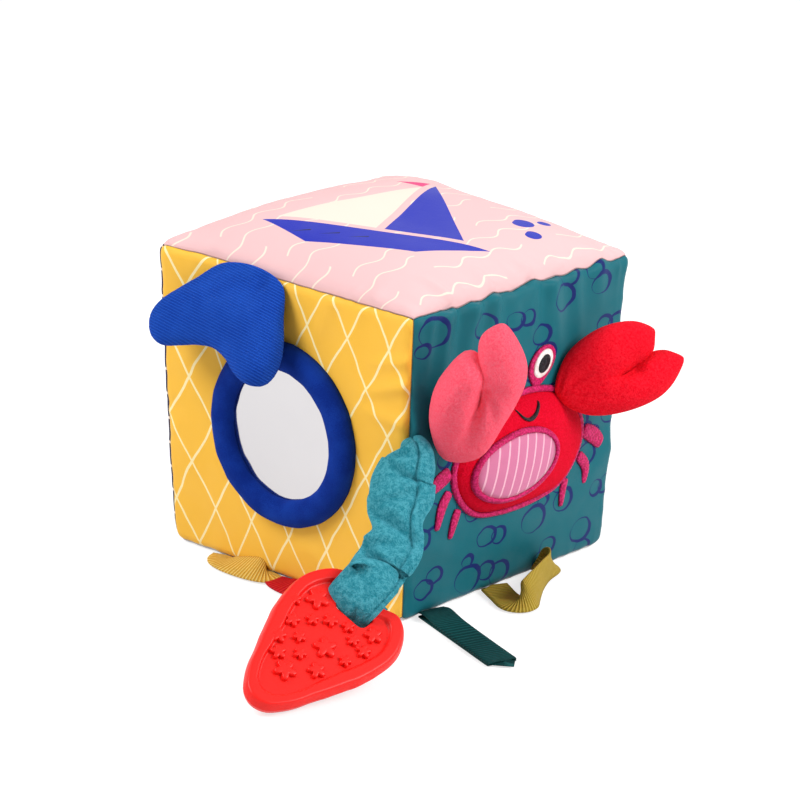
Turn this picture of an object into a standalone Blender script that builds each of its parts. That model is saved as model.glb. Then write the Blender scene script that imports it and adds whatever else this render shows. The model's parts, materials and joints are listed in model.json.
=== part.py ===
import math

import bmesh
import bpy
from mathutils import Matrix, Vector

# Soft fabric activity block, in metres, +Z up.
# The origin is the middle of its underside. -Y is the mirror side, +X is the crab side.

for old in list(bpy.data.objects):
    bpy.data.objects.remove(old, do_unlink=True)

# Fits and finish shared by every piece
touch_gap = 0.0003      # between pieces that touch
weld = 0.000001         # merges the doubled edge of a rolled grid
overrun = 0.010         # how far a cutter runs past what it cuts

# Block
side = 0.150
edge_radius = 0.006
top_crown = 0.014       # how far the middle of the top swells
side_crown = 0.0035     # the same on the four sides
top_fullness = 4        # power of the top's swell, 2 for a plain dome and more for a full pillow
side_fullness = 2
top_flare = 0.0023      # how much further out each top edge lies than its bottom edge
lean_start = 0.6        # the left and back edges bulge from this share of the half side outwards
left_bulge = (0.0065, 0.0045, 0.0020)   # of the left top edge: out, forwards at its front corner, and up
back_bulge = (0.0030, 0.0055)           # of the back top edge: out, and up towards the left
bulge_fade = 0.6        # power of the bulge's growth from the base up
cover_thick = 0.0010
seam_gap = 0.0008       # between the raw edges of two covers, along the surface
panel_cells = 10
core_fit = 0.0004       # between cover and foam
half = side / 2

# Rattle in the foam
case_radius = 0.016
case_height = 0.022
case_wall = 0.0015
lid_lip = 0.003         # how far the lid's lip reaches down inside the base
lip_fit = 0.0002
bead_radius = 0.0026
bead_circle = 0.0085    # from the case's axis to a bead
bead_count = 4
case_steps = 24
rattle_level = side / 2

# Mirror and its padded ring, on the front
mirror_across = 0.001
mirror_level = 0.0755
mirror_radius = 0.0335
mirror_thick = 0.0010
ring_inner = 0.0315     # the ring's padded lip, which overlaps the mirror's rim
ring_outer = 0.0452
ring_rise = 0.0065
ring_steps = 32

# Crab on the right-hand side: a padded body with embroidery
crab_across = -0.0006
crab_level = 0.068
crab_half_width = 0.045
crab_rise = 0.011
crab_skin = 0.0012
crab_steps = 28
border_width = 0.0030
border_rise = 0.0016
belly_across = -0.0135
belly_level = 0.0672
belly_half_width = 0.0250
belly_half_height = 0.0150
belly_tilt = math.radians(5)
patch_thick = 0.0007
patch_fit = 0.0004      # between a flat trim and the crowned form under it
belly_band = 0.0026
stitch_thick = 0.0008
mouth_width = 0.0016
mouth_half_span = 0.0083
mouth_drop = 0.0062
mouth_level = 0.0942
face_across = -0.0040
eye_spread = 0.0154     # from the face's middle line to each eye
eye_level = 0.1110
eye_half_width = 0.0098
eye_half_height = 0.0092
white_share = 0.74
pupil_share = 0.40
leg_widths = ((0.0074, 0.0088, 0.0066), (0.0058, 0.0062, 0.0030), (0.0050, 0.0050, 0.0028))
leg_clear = 0.0021      # between the border and the corners of a leg's root

# Claws
claw_half_thick = 0.0125
claw_skin = 0.0011
right_claw_length = 0.064
right_claw_width = 0.040
left_claw_length = 0.079
left_claw_width = 0.043
right_claw_across = 0.0234
right_claw_level = 0.0924
right_claw_off = 0.0060     # from the cover to the middle of the wrist
right_claw_way = (0.451, 0.782, 0.431)
right_claw_front = (0.694, -0.611, 0.382)
right_root_share = 0.40     # thickness at the wrist
left_claw_across = -0.0546
left_claw_level = 0.0975
left_claw_off = 0.0182
left_claw_way = (0.259, -0.299, 0.918)
left_claw_front = (0.606, -0.690, -0.396)
fork_seam = 0.0004      # between the two halves of a stuffed piece's skin
fork_cells = 16         # along a stuffed piece, from tip to tip
fork_rows = 6
fill_inset = 5          # from a stuffed piece's outline to its filling, in thicknesses of its skin
least_share = 0.2       # of a narrow fingertip's width that an inner layer keeps
taper_share = 0.55      # how much of a stuffed piece's length thins towards its root

# Tail
tail_length = 0.054
tail_width = 0.084
tail_half_thick = 0.0085
tail_skin = 0.0010
tail_root_share = 0.22
tail_across = -0.010
tail_out = 0.0040       # how far the tail's root stands off the top front seam
tail_lean = math.radians(33)

# Strap and teether
strap_level = 0.0905    # height of the strap's root on the corner seam
strap_off = 0.0020      # from the corner seam to the strap's root
strap_reach = 0.0515
strap_drop = 0.0605
strap_side = 0.0045
strap_turn = math.radians(-68.8)    # heading of the strap, seen from above
strap_half_width = 0.0155
strap_half_thick = 0.0058
strap_fabric = 0.0009
loop_half_width = 0.0070
loop_half_thick = 0.0018
loop_radius = 0.0074    # of the strap's middle line, round the teether's bar
loop_lap = 0.012        # sewn back on itself behind the bar
elastic_half_width = 0.0040
elastic_thick = 0.0012
teether_pitch = math.radians(17.3)
teether_heading = math.radians(-87.0)
teether_roll = math.radians(-32.0)
teether_half_width = 0.0285
teether_centre = 0.030  # from the bar to the middle of the heart
plate_half_thick = 0.0022
rim_half_thick = 0.0038
rim_width = 0.0070
rim_round = 0.0014
teether_steps = 48
slot_near = 0.0032      # from the bar's axis to the slot
slot_far = 0.0128
slot_half_width = 0.0088

# Ribbon loops in the bottom seams
tape_width = 0.0150
tape_thick = 0.0007
tape_lift = 0.0019      # height of a tape where it leaves its seam
tape_off = 0.0013       # from the corner of the seam to the tape's end
flat_loop_reach = 0.0650
flat_loop_turn = math.radians(-19)
flat_loop_inset = 0.0195    # from the block's front corner to the middle of the tape
floor_clear = 0.0006
tape_cells = 24
flat_loop_cells = 30
side_arch_across = 0.0080
side_arch_spread = 0.0360
side_arch_reach = 0.0275
front_arch_spread = 0.0200
front_arch_reach = 0.0120
yellow_arch_across = -0.0220
red_arch_across = 0.0140

block_parts = bpy.data.collections.new("soft_fabric_block")
cutters = bpy.data.collections.new("cutters")
bpy.context.scene.collection.children.link(block_parts)
bpy.context.scene.collection.children.link(cutters)


def material(name, colour, roughness):
    found = bpy.data.materials.get(name)
    if found:
        return found
    made = bpy.data.materials.new(name)
    made.use_nodes = True
    shader = made.node_tree.nodes["Principled BSDF"]
    shader.inputs["Base Color"].default_value = (*colour, 1)
    shader.inputs["Roughness"].default_value = roughness
    shader.inputs["Metallic"].default_value = 0
    made.diffuse_color = (*colour, 1)
    return made


pink = ("pink_satin", (0.90, 0.62, 0.64), 0.6)
yellow = ("yellow_satin", (0.89, 0.51, 0.07), 0.6)
teal = ("teal_satin", (0.03, 0.20, 0.23), 0.6)
navy = ("navy_satin", (0.02, 0.02, 0.09), 0.6)
grey = ("grey_cotton", (0.62, 0.62, 0.62), 0.8)
foam = ("foam", (0.88, 0.86, 0.80), 0.9)
wadding = ("wadding", (0.90, 0.90, 0.88), 0.95)
white_plastic = ("white_plastic", (0.85, 0.85, 0.85), 0.35)
mirror_film = ("mirror_film", (0.75, 0.75, 0.76), 0.08)
blue_velour = ("blue_velour", (0.01, 0.08, 0.40), 0.85)
red_plush = ("red_plush", (0.88, 0.01, 0.03), 0.85)
magenta_thread = ("magenta_thread", (0.60, 0.01, 0.11), 0.7)
belly_cloth = ("belly_cloth", (0.72, 0.25, 0.40), 0.7)
white_thread = ("white_thread", (0.80, 0.72, 0.70), 0.7)
black_thread = ("black_thread", (0.01, 0.01, 0.01), 0.6)
teal_plush = ("teal_plush", (0.09, 0.38, 0.42), 0.85)
elastic_web = ("elastic_web", (0.80, 0.80, 0.80), 0.8)
silicone = ("red_silicone", (0.90, 0.03, 0.02), 0.45)
green_tape = ("green_tape", (0.01, 0.08, 0.08), 0.6)
olive_tape = ("olive_tape", (0.66, 0.52, 0.10), 0.6)
yellow_tape = ("yellow_tape", (0.82, 0.58, 0.16), 0.6)
red_tape = ("red_tape", (0.60, 0.01, 0.02), 0.6)


def finish(name, bm, look, frame=Matrix.Identity(4), group=None, smooth=True):
    """makes an object of bm's mesh, whose points are in the piece's own frame"""
    mesh = bpy.data.meshes.new(name)
    bm.to_mesh(mesh)
    bm.free()
    if smooth:
        mesh.shade_smooth()
        mesh.set_sharp_from_angle(angle=math.radians(40))
    piece = bpy.data.objects.new(name, mesh)
    piece.matrix_world = frame
    mesh.materials.append(material(*look))
    (group or block_parts).objects.link(piece)
    return piece


def face_outward(bm):
    bmesh.ops.recalc_face_normals(bm, faces=bm.faces)
    if bm.calc_volume(signed=True) < 0:
        bmesh.ops.reverse_faces(bm, faces=bm.faces)


def thicken(piece, thick, offset=-1.0):
    shell = piece.modifiers.new("thickness", "SOLIDIFY")
    shell.thickness = thick
    shell.offset = offset
    return piece


def cut(piece, cutter):
    knife = piece.modifiers.new("cut", "BOOLEAN")
    knife.operation = "DIFFERENCE"
    knife.solver = "EXACT"
    knife.object = cutter
    cutter.hide_render = True
    cutter.display_type = "WIRE"
    return piece


def spline(points, t):
    """a smooth open curve through the points, at t from 0 to 1"""
    last = len(points) - 1
    step = min(int(t * last), last - 1)
    f = t * last - step
    b, c = Vector(points[step]), Vector(points[step + 1])
    a = Vector(points[step - 1]) if step else 2 * b - c
    d = Vector(points[step + 2]) if step + 2 <= last else 2 * c - b
    return (2 * b + (c - a) * f + (2 * a - 5 * b + 4 * c - d) * f**2 + (3 * b - a - 3 * c + d) * f**3) / 2


def polar(shares, turn):
    """reads half an outline, given at even steps from 0 to 180 degrees, at any turn"""
    turn = abs((turn + math.pi) % (2 * math.pi) - math.pi)
    last = len(shares) - 1
    at = turn / math.pi * last
    step = min(int(at), last - 1)
    f = at - step
    a, b, c, d = (shares[abs(step + i)] if step + i <= last else shares[2 * last - step - i] for i in (-1, 0, 1, 2))
    return (2 * b + (c - a) * f + (2 * a - 5 * b + 4 * c - d) * f**2 + (3 * b - a - 3 * c + d) * f**3) / 2


def rolled(name, rows, around, place, look, frame=Matrix.Identity(4)):
    """a grid rolled round an axis: place(turn, *row) gives each point, and doubled points are welded"""
    bm = bmesh.new()
    bmesh.ops.create_grid(bm, x_segments=around, y_segments=len(rows) - 1, size=1)
    for point in bm.verts:
        turn = math.pi * (point.co.x + 1)
        row = rows[round((point.co.y + 1) / 2 * (len(rows) - 1))]
        point.co = place(turn, *row)
    bmesh.ops.remove_doubles(bm, verts=bm.verts, dist=weld)
    face_outward(bm)
    return finish(name, bm, look, frame)


# Block: a rounded cube with crowned faces, whose top is a little wider than its base

def crown_of(axis, sign):
    if axis == 2:
        return top_crown if sign > 0 else 0
    return side_crown


def flare_at(level):
    return 1 + top_flare / half * level / side


def cover_point(share, depth=0.0):
    """share is a point of the unit cube's surface; depth lies under the cover's outer face"""
    reach = half - depth
    flat = half - edge_radius
    on_flat = Vector([max(-flat, min(flat, s * reach)) for s in share])
    place = on_flat + (Vector(share) * reach - on_flat).normalized() * (edge_radius - depth)
    for axis in range(3):
        if abs(share[axis]) > 0.9999:
            one, two = (abs(share[i]) for i in range(3) if i != axis)
            full = top_fullness if axis == 2 else side_fullness
            place[axis] += share[axis] * crown_of(axis, share[axis]) * (1 - one**full) * (1 - two**full)
    widen = flare_at(place.z + half)
    return Vector((place.x * widen, place.y * widen, place.z + half)) + bulge_at(share, place.z + half)


def ease(value, low, high):
    f = min(1.0, max(0.0, (value - low) / (high - low)))
    return f * f * (3 - 2 * f)


def bulge_at(share, level):
    """the soft block's own bulge: its left and back top edges stand out and up"""
    height = min(1.0, max(0.0, level / side))
    left, front, back = (ease(s, lean_start, 1) for s in (-share[0], -share[1], share[1]))
    rising = height**bulge_fade
    lifted = ease(height, 0.3, 1)
    up_left, up_back = (ease(s, 0, 1) for s in (-share[0], share[1]))
    return Vector((-left_bulge[0] * rising * left,
                   back_bulge[0] * height * back - left_bulge[1] * rising * left * front,
                   lifted * (left_bulge[2] * up_left + back_bulge[1] * up_back * ease(-share[0], -1, 0.2))))


def on_front(across, level, lift):
    widen = flare_at(level)
    one, two = across / (half * widen), level / half - 1
    rise = side_crown * (1 - one**2) * (1 - two**2)
    return Vector((across, -(half + rise) * widen - lift, level))


def on_right(across, level, lift):
    spot = on_front(across, level, lift)
    return Vector((-spot.y, spot.x, spot.z))


def make_panel(name, look, to_share):
    bm = bmesh.new()
    bmesh.ops.create_grid(bm, x_segments=panel_cells, y_segments=panel_cells, size=1)
    ends = 1 - seam_gap / half
    for point in bm.verts:
        one, two = (ends * math.sin(math.pi / 2 * c) for c in point.co.xy)
        point.co = cover_point(to_share(one, two))
    return thicken(finish(name, bm, look), cover_thick)


def make_block():
    make_panel("panel_top", pink, lambda a, b: (a, b, 1))
    make_panel("panel_bottom", grey, lambda a, b: (a, -b, -1))
    make_panel("panel_front", yellow, lambda a, b: (a, -1, b))
    make_panel("panel_back", navy, lambda a, b: (-a, 1, b))
    make_panel("panel_right", teal, lambda a, b: (1, a, b))
    make_panel("panel_left", navy, lambda a, b: (-1, -a, b))
    bm = bmesh.new()
    bmesh.ops.create_cube(bm, size=2)
    bmesh.ops.subdivide_edges(bm, edges=bm.edges, cuts=panel_cells - 1, use_grid_fill=True)
    for point in bm.verts:
        share = [math.sin(math.pi / 2 * c) for c in point.co]
        point.co = cover_point(share, cover_thick + core_fit)
    core = finish("foam_core", bm, foam)
    bm = bmesh.new()
    pocket_top = rattle_level + case_height / 2 + touch_gap
    pocket_radius = case_radius + touch_gap
    bmesh.ops.create_cone(bm, cap_ends=True, segments=case_steps, radius1=pocket_radius,
                          radius2=pocket_radius, depth=pocket_top + overrun)
    place = Matrix.Translation((0, 0, (pocket_top - overrun) / 2))
    cut(core, finish("pocket_cutter", bm, foam, place, cutters))
    foot = cover_thick + core_fit
    plug_top = rattle_level - case_height / 2 - touch_gap
    upright("foam_plug", [(0, plug_top), (case_radius, plug_top), (case_radius, foot), (0, foot)], foam)


def upright(name, profile, look):
    """a turned piece on the block's own axis, from (radius, height) points"""
    return rolled(name, profile, case_steps,
                  lambda turn, r, z: Vector((r * math.cos(turn), r * math.sin(turn), z)), look)


def make_rattle():
    low, high = rattle_level - case_height / 2, rattle_level + case_height / 2
    inner = case_radius - case_wall
    floor, roof = low + case_wall, high - case_wall
    seat = roof - touch_gap
    upright("rattle_case_base", [(0, floor), (inner, floor), (inner, seat), (case_radius, seat),
                                 (case_radius, low), (0, low)], white_plastic)
    lip = inner - lip_fit
    bore = lip - case_wall
    upright("rattle_case_lid", [(0, high), (case_radius, high), (case_radius, roof), (lip, roof),
                                (lip, roof - lid_lip), (bore, roof - lid_lip), (bore, roof), (0, roof)],
            white_plastic)
    for number in range(bead_count):
        turn = 2 * math.pi * number / bead_count
        bm = bmesh.new()
        bmesh.ops.create_icosphere(bm, subdivisions=2, radius=bead_radius)
        spot = (bead_circle * math.cos(turn), bead_circle * math.sin(turn), floor + touch_gap + bead_radius)
        finish(f"rattle_bead_{number + 1}", bm, white_plastic, Matrix.Translation(spot))


def make_mirror():
    def on_mirror(turn, radius, lift):
        across = mirror_across + radius * math.cos(turn)
        return on_front(across, mirror_level + radius * math.sin(turn), lift)

    top = touch_gap + mirror_thick
    rolled("mirror_plate", [(0, top), (mirror_radius / 2, top), (mirror_radius, top), (mirror_radius, touch_gap),
                            (mirror_radius / 2, touch_gap), (0, touch_gap)], ring_steps, on_mirror, mirror_film)
    under = top + touch_gap
    past = mirror_radius + touch_gap
    band = (ring_outer - ring_inner) / 2
    middle = (ring_outer + ring_inner) / 2
    crest = [(middle + band * math.cos(a), under + (ring_rise - under) * math.sin(a))
             for a in (math.pi * k / 6 for k in range(7))]
    rows = crest + [(past, under), (past, touch_gap), (ring_outer, touch_gap)]
    rows.append(rows[0])
    rolled("mirror_ring", rows, ring_steps, on_mirror, blue_velour)


# Crab

crab_shares = (0.57, 0.645, 0.87, 1.0, 0.86, 0.69, 0.64)     # from straight down to straight up

# Where each leg leaves the border, in degrees from straight down, and how far its middle and its tip lie
# from there, as shares of the body's half width
leg_paths = {"left_1": (-91.5, (-0.12, -0.05), (-0.25, -0.13)), "right_1": (89, (0.19, -0.10), (0.36, -0.24)),
             "left_2": (-80.7, (-0.085, -0.15), (-0.145, -0.40)), "right_2": (74.5, (0.165, -0.17), (0.16, -0.375)),
             "left_3": (-66.4, (-0.06, -0.12), (-0.095, -0.31)), "right_3": (58.2, (-0.02, -0.12), (-0.03, -0.305))}


def crab_reach(turn):
    """the body's edge, with turn counted from straight down"""
    return crab_half_width * polar(crab_shares, turn)


def crab_dome(across, level):
    """how far the crab's skin stands off the cover at a point of the side"""
    one, two = across - crab_across, level - crab_level
    share = math.hypot(one, two) / crab_reach(math.atan2(one, -two))
    return touch_gap + crab_rise * math.sqrt(max(0.0, 1 - share**2))


def crab_place(turn, share, extra, lift):
    reach = crab_reach(turn) * share + extra
    return on_right(crab_across + reach * math.sin(turn), crab_level - reach * math.cos(turn), lift)


def dome_rows(rise, edge, base, steps=5):
    """rows of a dome from its crest to its edge, which lies in from the body's outline by edge"""
    rows = []
    for k in range(steps + 1):
        a = math.pi / 2 * k / steps
        rows.append((math.sin(a), -edge * math.sin(a), base + rise * math.cos(a)))
    return rows


def make_crab():
    outer = dome_rows(crab_rise, 0, touch_gap)
    inner = dome_rows(crab_rise - crab_skin, crab_skin, touch_gap)
    rolled("crab_body", outer + inner[::-1], crab_steps, crab_place, red_plush)
    fill = crab_skin + patch_fit
    pad = dome_rows(crab_rise - fill - patch_fit, fill, patch_fit)
    rolled("crab_padding", pad + [(0, 0, patch_fit)], crab_steps, crab_place, wadding)
    near, far = touch_gap, touch_gap + border_width
    rows = [(1, near, touch_gap), (1, near, border_rise), (1, (near + far) / 2, border_rise + touch_gap),
            (1, far, border_rise / 2), (1, far, touch_gap)]
    rolled("crab_border", rows + rows[:1], crab_steps, crab_place, magenta_thread)

    def on_belly(turn, share, extra, lift):
        one = (belly_half_width * share + extra) * math.cos(turn)
        two = (belly_half_height * share + extra) * math.sin(turn)
        across = belly_across + one * math.cos(belly_tilt) - two * math.sin(belly_tilt)
        level = belly_level + one * math.sin(belly_tilt) + two * math.cos(belly_tilt)
        return on_right(across, level, crab_dome(across, level) + lift)

    top = patch_fit + patch_thick
    shares = (0, 0.55, 1)
    rows = [(s, 0, top) for s in shares] + [(s, 0, patch_fit) for s in shares[::-1]]
    rolled("belly_patch", rows, crab_steps, on_belly, belly_cloth)
    near, far = touch_gap, touch_gap + belly_band
    rows = [(1, near, patch_fit), (1, near, top), (1, (near + far) / 2, top + touch_gap), (1, far, top),
            (1, far, patch_fit)]
    rolled("belly_stitching", rows + rows[:1], crab_steps, on_belly, magenta_thread)


def sewn_strip(name, points, widths, ground, look, cells=10):
    """a band of stitches along points (across, level), on a ground that gives its height"""
    bm = bmesh.new()
    bmesh.ops.create_grid(bm, x_segments=cells, y_segments=2, size=1)
    for point in bm.verts:
        t = (point.co.x + 1) / 2
        here = spline(points, t)
        ahead = spline(points, min(1.0, t + 0.01)) - spline(points, max(0.0, t - 0.01))
        width = spline([(w, 0) for w in widths], t).x / 2
        across, level = here + Vector((ahead.y, -ahead.x)).normalized() * width * -point.co.y
        point.co = on_right(across, level, ground(across, level))
    return thicken(finish(name, bm, look), stitch_thick, 1.0)


def make_face():
    def plain(across, level):
        return touch_gap

    def on_body(across, level):
        return crab_dome(across, level) + patch_fit

    curve = [(face_across + mouth_half_span * s, mouth_level - mouth_drop * (1 - s * s)) for s in
             (-1, -0.6, 0, 0.6, 1)]
    sewn_strip("mouth_stitch", curve, (mouth_width / 2, mouth_width, mouth_width, mouth_width / 2), on_body,
               black_thread)
    for name, sign in (("left", -1), ("right", 1)):
        centre = face_across + sign * eye_spread

        def on_eye(turn, share, lift):
            across = centre + eye_half_width * share * math.cos(turn)
            return on_right(across, eye_level + eye_half_height * share * math.sin(turn), lift)

        low = touch_gap
        for part, share, look in (("eye_stalk", 1, magenta_thread), ("eye_white", white_share, white_thread),
                                  ("eye_pupil", pupil_share, black_thread)):
            high = low + patch_thick
            rows = [(0, high), (share, high), (share, low), (0, low)]
            rolled(f"{part}_{name}", rows, case_steps, on_eye, look)
            low = high + touch_gap
    for name, (turn, middle, end) in leg_paths.items():
        angle = math.radians(turn)
        root = crab_reach(angle) + touch_gap + border_width + leg_clear
        start = Vector((crab_across, crab_level)) + Vector((math.sin(angle), -math.cos(angle))) * root
        points = [start, start + Vector(middle) * crab_half_width, start + Vector(end) * crab_half_width]
        sewn_strip("leg_" + name, points, leg_widths[int(name[-1]) - 1], plain, magenta_thread, 6)


# Stuffed fork-shaped pieces: two claws and a tail. Each half skin is a strip that runs from one tip
# round the inside of the fork to the other tip, and swells between its inner and its outer edge.

def fork_point(outer, inner, u, v):
    """u runs from tip to tip, v from the inner to the outer edge, both from -1 to 1"""
    along = (u + 1) / 2
    return spline(inner, along) * (1 - v) / 2 + spline(outer, along) * (1 + v) / 2


def fork_swell(u, v):
    return math.sqrt(max(0.0, 1 - abs(v)**2.4)) * math.sqrt(max(0.0, 1 - abs(u)**6)) * (1 - 0.22 * u * u)


def fork_taper(root_share, share):
    """thins a piece towards its sewn root; share is the place along its length"""
    f = min(1.0, max(0.0, share / taper_share))
    return root_share + (1 - root_share) * f * f * (3 - 2 * f)


def make_fork(name, outlines, length, width, half_thick, skin, root_share, look, frame):
    """two half skins and a filling; frame's X is the length, Y the width and Z the front"""
    outer, inner = ([Vector((x * length, y * width)) for x, y in shares] for shares in outlines)
    long_way = sum((b - a).length for a, b in zip(outer, outer[1:]))

    def dome(into, sign, inset, rise, base):
        """adds one domed sheet, whose rim lies in from the outline by inset"""
        start = len(into.verts)
        bmesh.ops.create_grid(into, x_segments=fork_cells, y_segments=fork_rows, size=1)
        into.verts.ensure_lookup_table()
        for point in into.verts[start:]:
            u, v = (round(math.sin(math.pi / 2 * c), 5) for c in point.co.xy)
            at = u * (1 - 2 * inset / long_way)
            wide = (fork_point(outer, inner, at, 1) - fork_point(outer, inner, at, -1)).length
            flat = fork_point(outer, inner, at, v * max(least_share, 1 - 2 * inset / wide))
            swell = fork_swell(u, v) * fork_taper(root_share, flat.x / length)
            point.co = (flat.x, flat.y, sign * (base + rise * swell))

    for part, sign in (("front", 1), ("back", -1)):
        bm = bmesh.new()
        dome(bm, sign, 0, half_thick, fork_seam / 2)
        rim = [edge for edge in bm.edges if edge.is_boundary]
        under = len(bm.verts)
        dome(bm, sign, skin, half_thick - skin, fork_seam / 2)
        for edge in rim:
            one, two = edge.verts
            bm.faces.new((one, two, bm.verts[two.index + under], bm.verts[one.index + under]))
        face_outward(bm)
        finish(f"{name}_{part}_skin", bm, look, frame)
    bm = bmesh.new()
    for sign in (1, -1):
        dome(bm, sign, skin * fill_inset, half_thick - skin * 2, 0)
    bmesh.ops.remove_doubles(bm, verts=bm.verts, dist=weld)
    face_outward(bm)
    finish(f"{name}_filling", bm, wadding, frame)


def frame_of(origin, along, front):
    """a frame with X along a direction and Z as near to front as that allows"""
    x = along.normalized()
    z = (front - x * front.dot(x)).normalized()
    y = z.cross(x)
    turned = Matrix((x, y, z)).transposed().to_4x4()
    return Matrix.Translation(origin) @ turned


# A claw's outlines as (length, width) shares, from the upper finger's tip to the lower one's
right_outer_shares = ((0.84, 0.27), (0.68, 0.41), (0.42, 0.45), (0.14, 0.35), (-0.05, 0.06),
                      (0.06, -0.29), (0.31, -0.50), (0.62, -0.55), (0.92, -0.38))
right_inner_shares = ((0.82, 0.17), (0.75, 0.05), (0.65, -0.03), (0.53, -0.095), (0.41, -0.155),
                      (0.52, -0.145), (0.65, -0.10), (0.80, -0.12), (0.94, -0.24))
left_outer_shares = ((0.53, 0.20), (0.42, 0.33), (0.25, 0.46), (0.02, 0.48), (-0.22, 0.33),
                     (-0.20, -0.06), (0.04, -0.31), (0.36, -0.49), (0.73, -0.36))
left_inner_shares = ((0.535, 0.08), (0.50, 0.02), (0.44, -0.01), (0.37, -0.035), (0.29, -0.055),
                     (0.39, -0.075), (0.51, -0.075), (0.63, -0.11), (0.735, -0.21))
tail_outer_shares = ((0.85, 0.28), (0.63, 0.27), (0.35, 0.19), (0.07, 0.10), (-0.03, -0.13),
                     (0.02, -0.37), (0.22, -0.51), (0.44, -0.64), (0.63, -0.72))
tail_inner_shares = ((0.955, 0.24), (0.97, 0.136), (0.92, 0.036), (0.82, -0.07), (0.76, -0.20),
                     (0.78, -0.33), (0.83, -0.45), (0.87, -0.565), (0.82, -0.665))


def claw_frame(across, level, off, along, front):
    return frame_of(on_right(across, level, off), Vector(along), Vector(front))


def make_claws():
    make_fork("claw_right", (right_outer_shares, right_inner_shares), right_claw_length, right_claw_width,
              claw_half_thick, claw_skin, right_root_share, red_plush,
              claw_frame(right_claw_across, right_claw_level, right_claw_off, right_claw_way, right_claw_front))
    make_fork("claw_left", (left_outer_shares, left_inner_shares), left_claw_length, left_claw_width,
              claw_half_thick, claw_skin, 1, red_plush,
              claw_frame(left_claw_across, left_claw_level, left_claw_off, left_claw_way, left_claw_front))


def make_tail():
    seam = cover_point((0, -1, 1))
    root = Vector((tail_across, seam.y - tail_out / 2, seam.z + tail_out / 2))
    along = Vector((0, -math.sin(tail_lean), -math.cos(tail_lean)))
    front = Vector((0, -math.cos(tail_lean), math.sin(tail_lean)))
    make_fork("tail", (tail_outer_shares, tail_inner_shares), tail_length, tail_width, tail_half_thick,
              tail_skin, tail_root_share, blue_velour, frame_of(root, along, front))


# Strap and teether. The strap's own frame has its reach, its sideways and its upward directions.

heading = Vector((math.cos(strap_turn), math.sin(strap_turn), 0))
sideways = Vector((-heading.y, heading.x, 0))
up = Vector((0, 0, 1))


def strap_root():
    corner = cover_point((1, -1, strap_level / half - 1))
    out = Vector((1, -1, 0)).normalized()
    return corner + out * strap_off


bar_place = strap_root() + heading * strap_reach - up * strap_drop
tip_way = Vector((math.cos(teether_heading) * math.cos(teether_pitch),
                  math.sin(teether_heading) * math.cos(teether_pitch), -math.sin(teether_pitch)))
level_way = Vector((-math.sin(teether_heading), math.cos(teether_heading), 0))
width_way = Matrix.Rotation(teether_roll, 3, tip_way) @ level_way
face_way = width_way.cross(tip_way) * -1
strap_shares = ((0, 0, 0), (0.08, 0.8, 0.05), (0.16, 0.9, 0.13), (0.23, 0.6, 0.235), (0.35, 0.9, 0.37),
                (0.50, 1.0, 0.50), (0.66, 1.1, 0.63), (0.80, 0.5, 0.76))
width_shares = (0.25, 0.75, 1.0, 0.97, 0.74, 1.0, 0.86, 1.0, 0.80)
gathers = 9
gather_share = 0.07
neck_share = 0.12        # how much of the strap narrows towards the bar


def strap_route(steps=24):
    """the strap's middle line down to the bar, round it and back, with its width direction and shares"""
    root = strap_root()
    route = [root + heading * strap_reach * a + sideways * strap_side * b - up * strap_drop * c
             for a, b, c in strap_shares]
    rise = route[-1] - bar_place
    rise = (rise - width_way * rise.dot(width_way)).normalized()
    over = width_way.cross(rise)
    if over.dot(face_way) < 0:
        over = -over
    start = bar_place + over * loop_radius
    route.append(start + rise * loop_lap)
    line = []
    for k in range(steps + 1):
        t = k / steps
        line.append((spline(route, t), sideways.lerp(width_way, t * t).normalized(), t))
    line.append((start + rise * loop_lap / 2, width_way, 1))
    turns = 8
    for k in range(turns + 1):
        a = math.pi * k / turns
        line.append((bar_place + over * loop_radius * math.cos(a) - rise * loop_radius * math.sin(a), width_way, 1))
    line.append((bar_place - over * loop_radius + rise * loop_lap / 2, width_way, 1))
    return line


def strap_tube(name, line, half_width, half_thick, look, around=10):
    """an open tube of oval section along line, in the strap's own place"""
    bm = bmesh.new()
    bmesh.ops.create_grid(bm, x_segments=around, y_segments=len(line) - 1, size=1)
    for point in bm.verts:
        turn = math.pi * (point.co.x + 1)
        at = round((point.co.y + 1) / 2 * (len(line) - 1))
        here, wide, t = line[at]
        ahead = line[min(at + 1, len(line) - 1)][0] - line[max(at - 1, 0)][0]
        thick_way = wide.cross(ahead).normalized()
        wide = ahead.cross(thick_way).normalized()
        point.co = here + wide * half_width(t) * math.cos(turn) + thick_way * half_thick(t) * math.sin(turn)
    bmesh.ops.remove_doubles(bm, verts=bm.verts, dist=weld)
    face_outward(bm)
    root = strap_root()
    bmesh.ops.translate(bm, vec=-root, verts=bm.verts)
    return finish(name, bm, look, Matrix.Translation(root))


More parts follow.
